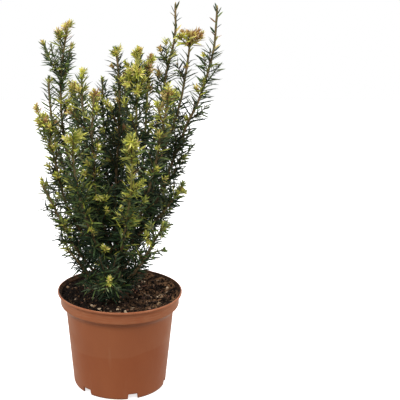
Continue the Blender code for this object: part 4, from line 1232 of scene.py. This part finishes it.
# Buds: small ovals of brown scales at the tips and where fresh tufts open.
def makeBuds(places, directions, sizes, random):
    share = np.linspace(0, 1, 6)
    way = share[None, :, None] * 2.2 - 0.35
    paths = places[:, None] + directions[:, None] * way * sizes[:, None, None]
    radii = sizes[:, None] * 0.52 * np.sqrt(np.clip(1 - (share * 1.9 - 0.9) ** 2, 0.02, 1))[None]
    points, faces = tubesAlong(paths, radii, 6)
    browns = tonesOf("budScale", 0.6, 0.5, Rust=(142, 98, 58), Rose=(170, 124, 98), Straw=(178, 158, 96))
    each = random.choice(3, len(places), p=(0.35, 0.15, 0.50))
    addPiece("yewBuds", points, faces, browns, perTube(each, 6, 6))


# Tubes that taper to half their radius, each in one of three woods.
def makeTwigs(name, grown, radius, sides, woods, shares, random):
    many, length = grown["paths"].shape[:2]
    radii = radius * np.linspace(1, 0.5, length)[None] * np.ones((many, 1))
    points, faces = tubesAlong(grown["paths"], radii, sides)
    each = random.choice(3, many, p=shares)
    addPiece(name, points, faces, woods, perTube(each, length, sides))


# Everything that grows, from one row of random draws.
def growCrown():
    random = np.random.default_rng(crown["seed"])
    shoots = joinRows([growSprigs(random), growShoots(random)])
    twigs = growTwigs(shoots, random)
    roots, directions, sizes, owners = placeTufts(shoots, twigs, random)
    shade = shadeAt(random.random(len(owners)), tipShares[owners])
    shade = np.minimum(shade, np.where(roots[:, 2] < growth["limeBelow"], 4, 6))  # low down, none is gold
    tufts, tuftRows = growTufts(roots, directions, shade, sizes, random)
    print("shoots", len(shoots["length"]), "twigs", len(twigs["length"]), "tufts", len(tufts["length"]))
    pitch, size = growth["pitch"], growth["needleLength"]
    green = joinRows([leaderNeedles(random), shootNeedles(shoots, pitch, size, random),
                      shootNeedles(twigs, pitch * 1.05, size * 0.86, random)])
    makeNeedles(joinRows([paintShadeByDepth(green, random), plumeNeedles(random), tuftRows]))

    woods = tonesOf("twig", 0.65, 0.3, Brown=(84, 64, 42), Olive=(92, 84, 44), Rust=(128, 94, 52))
    makeTwigs("yewShoots", shoots, growth["shootRadius"], 6, woods, (0.55, 0.40, 0.05), random)
    makeTwigs("yewTwigs", twigs, growth["twigRadius"], 5, woods, (0.35, 0.50, 0.15), random)
    makeTwigs("yewTuftStalks", tufts, growth["stalkRadius"], 5, woods, (0.15, 0.25, 0.60), random)
    tips = [(tufts["paths"][:, 0], tufts["paths"][:, 1] - tufts["paths"][:, 0], 0.0017),
            (shoots["paths"][:, -1], shoots["paths"][:, -1] - shoots["paths"][:, -2], 0.0011),
            (leaderPaths[:, -1], leaderPaths[:, -1] - leaderPaths[:, -2], 0.0020)]
    places, aims = (np.concatenate([row[column] for row in tips]) for column in (0, 1))
    size = np.concatenate([np.full(len(row[0]), row[2]) for row in tips])
    makeBuds(places, unit(aims), size * random.uniform(0.8, 1.2, len(size)), random)


makePot()
makeSoil()
makeLitter()
print("pot and soil made")
bark = makeBark()
makeTrunk(bark)
makeStems(bark)
growCrown()
print("crown grown")


# Studio: a pale floor, soft lights and the camera

studio = {
    "floor": (250, 250, 250), "floorGlow": 0.72, "sky": 0.74, "horizon": 0.74, "below": 0.05,
    "table": (0.86, 0.74, 0.63),
    "lights": {   # place, what each aims at, size and power
        "softboxLeft": ((-1.1, -1.1, 1.5), (0, 0, 0.28), (1.0, 1.0), 17),
        "softboxRight": ((1.2, -0.5, 1.0), (0, 0, 0.25), (0.8, 1.2), 7),
        "softboxTop": ((0.1, 0.2, 1.9), (0, 0, 0.30), (1.2, 1.2), 15),
    },
}


# A soft rectangular light, turned so that its -Z looks at the target.
def addLight(name, place, target, size, power):
    light = bpy.data.lights.new(name, "AREA")
    light.shape = "RECTANGLE"
    light.size, light.size_y = size
    light.energy = power
    lamp = bpy.data.objects.new(name, light)
    lamp.location = place
    x, y, z = np.array(target) - place
    lamp.rotation_euler = (math.atan2(math.hypot(x, y), -z), 0, math.atan2(y, x) - math.pi / 2)
    bpy.context.scene.collection.objects.link(lamp)


# Colours between stops of position and colour, for a value from 0 to 1.
def addRamp(world, value, stops):
    node = addNode(world, "ShaderNodeValToRGB", {"Fac": value})
    while len(node.color_ramp.elements) < len(stops):
        node.color_ramp.elements.new(0.5)
    for element, (position, colour) in zip(node.color_ramp.elements, stops):
        element.position = position
        element.color = (*colour, 1)
    return node.outputs["Color"]


# A white floor just under the pot, which glows a little and lights nothing.
def makeFloor():
    floor = bpy.data.meshes.new("floor")
    corners = [(-3, -3, -0.0004), (3, -3, -0.0004), (3, 3, -0.0004), (-3, 3, -0.0004)]
    floor.from_pydata(corners, [], [(0, 1, 2, 3)])
    pale = newMaterial("paleFloor", studio["floor"], 0.9)
    shader = pale.node_tree.nodes["Principled BSDF"]
    shader.inputs["Emission Color"].default_value = (1, 1, 1, 1)
    shader.inputs["Emission Strength"].default_value = studio["floorGlow"]
    floor.materials.append(pale)
    ground = bpy.data.objects.new("floor", floor)
    ground.visible_diffuse = ground.visible_glossy = False
    bpy.context.scene.collection.objects.link(ground)
    ground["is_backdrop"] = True


# White to the camera. To the plant it is dim below and soft from the horizon up, and a glossy reflection
# sees a warm pale table below.
def makeWorld():
    world = bpy.data.worlds.new("studio")
    world.use_nodes = True
    way = addNode(world, "ShaderNodeTexCoord").outputs["Generated"]
    height = ranged(world, addNode(world, "ShaderNodeSeparateXYZ", {"Vector": way}).outputs["Z"], -1.0, 1.0)
    below, horizon, sky = ((studio[key],) * 3 for key in ("below", "horizon", "sky"))
    levels = addRamp(world, height, ((0.32, below), (0.52, horizon), (1.0, sky)))
    mirrored = addRamp(world, height, ((0.44, studio["table"]), (0.52, horizon)))
    rays = addNode(world, "ShaderNodeLightPath").outputs
    shine = blendColours(world, rays["Is Glossy Ray"], levels, mirrored)
    seen = blendColours(world, rays["Is Camera Ray"], shine, (255, 255, 255))
    world.node_tree.links.new(seen, world.node_tree.nodes["Background"].inputs["Color"])
    bpy.context.scene.world = world


# The photo's camera.
def makeCamera():
    lens = bpy.data.cameras.new("camera")
    lens.sensor_width, lens.lens, lens.shift_x = view["sensor"], view["lens"], view["shift"]
    lens.clip_end = 20
    camera = bpy.data.objects.new("camera", lens)
    camera.location = view["place"]
    camera.rotation_euler = (math.radians(90 - view["down"]), 0, 0)
    bpy.context.scene.collection.objects.link(camera)
    bpy.context.scene.camera = camera


makeFloor()
makeWorld()
for name, settings in studio["lights"].items():
    addLight(name, *settings)
makeCamera()
bpy.context.scene.view_settings.view_transform = "Standard"
print("studio set")
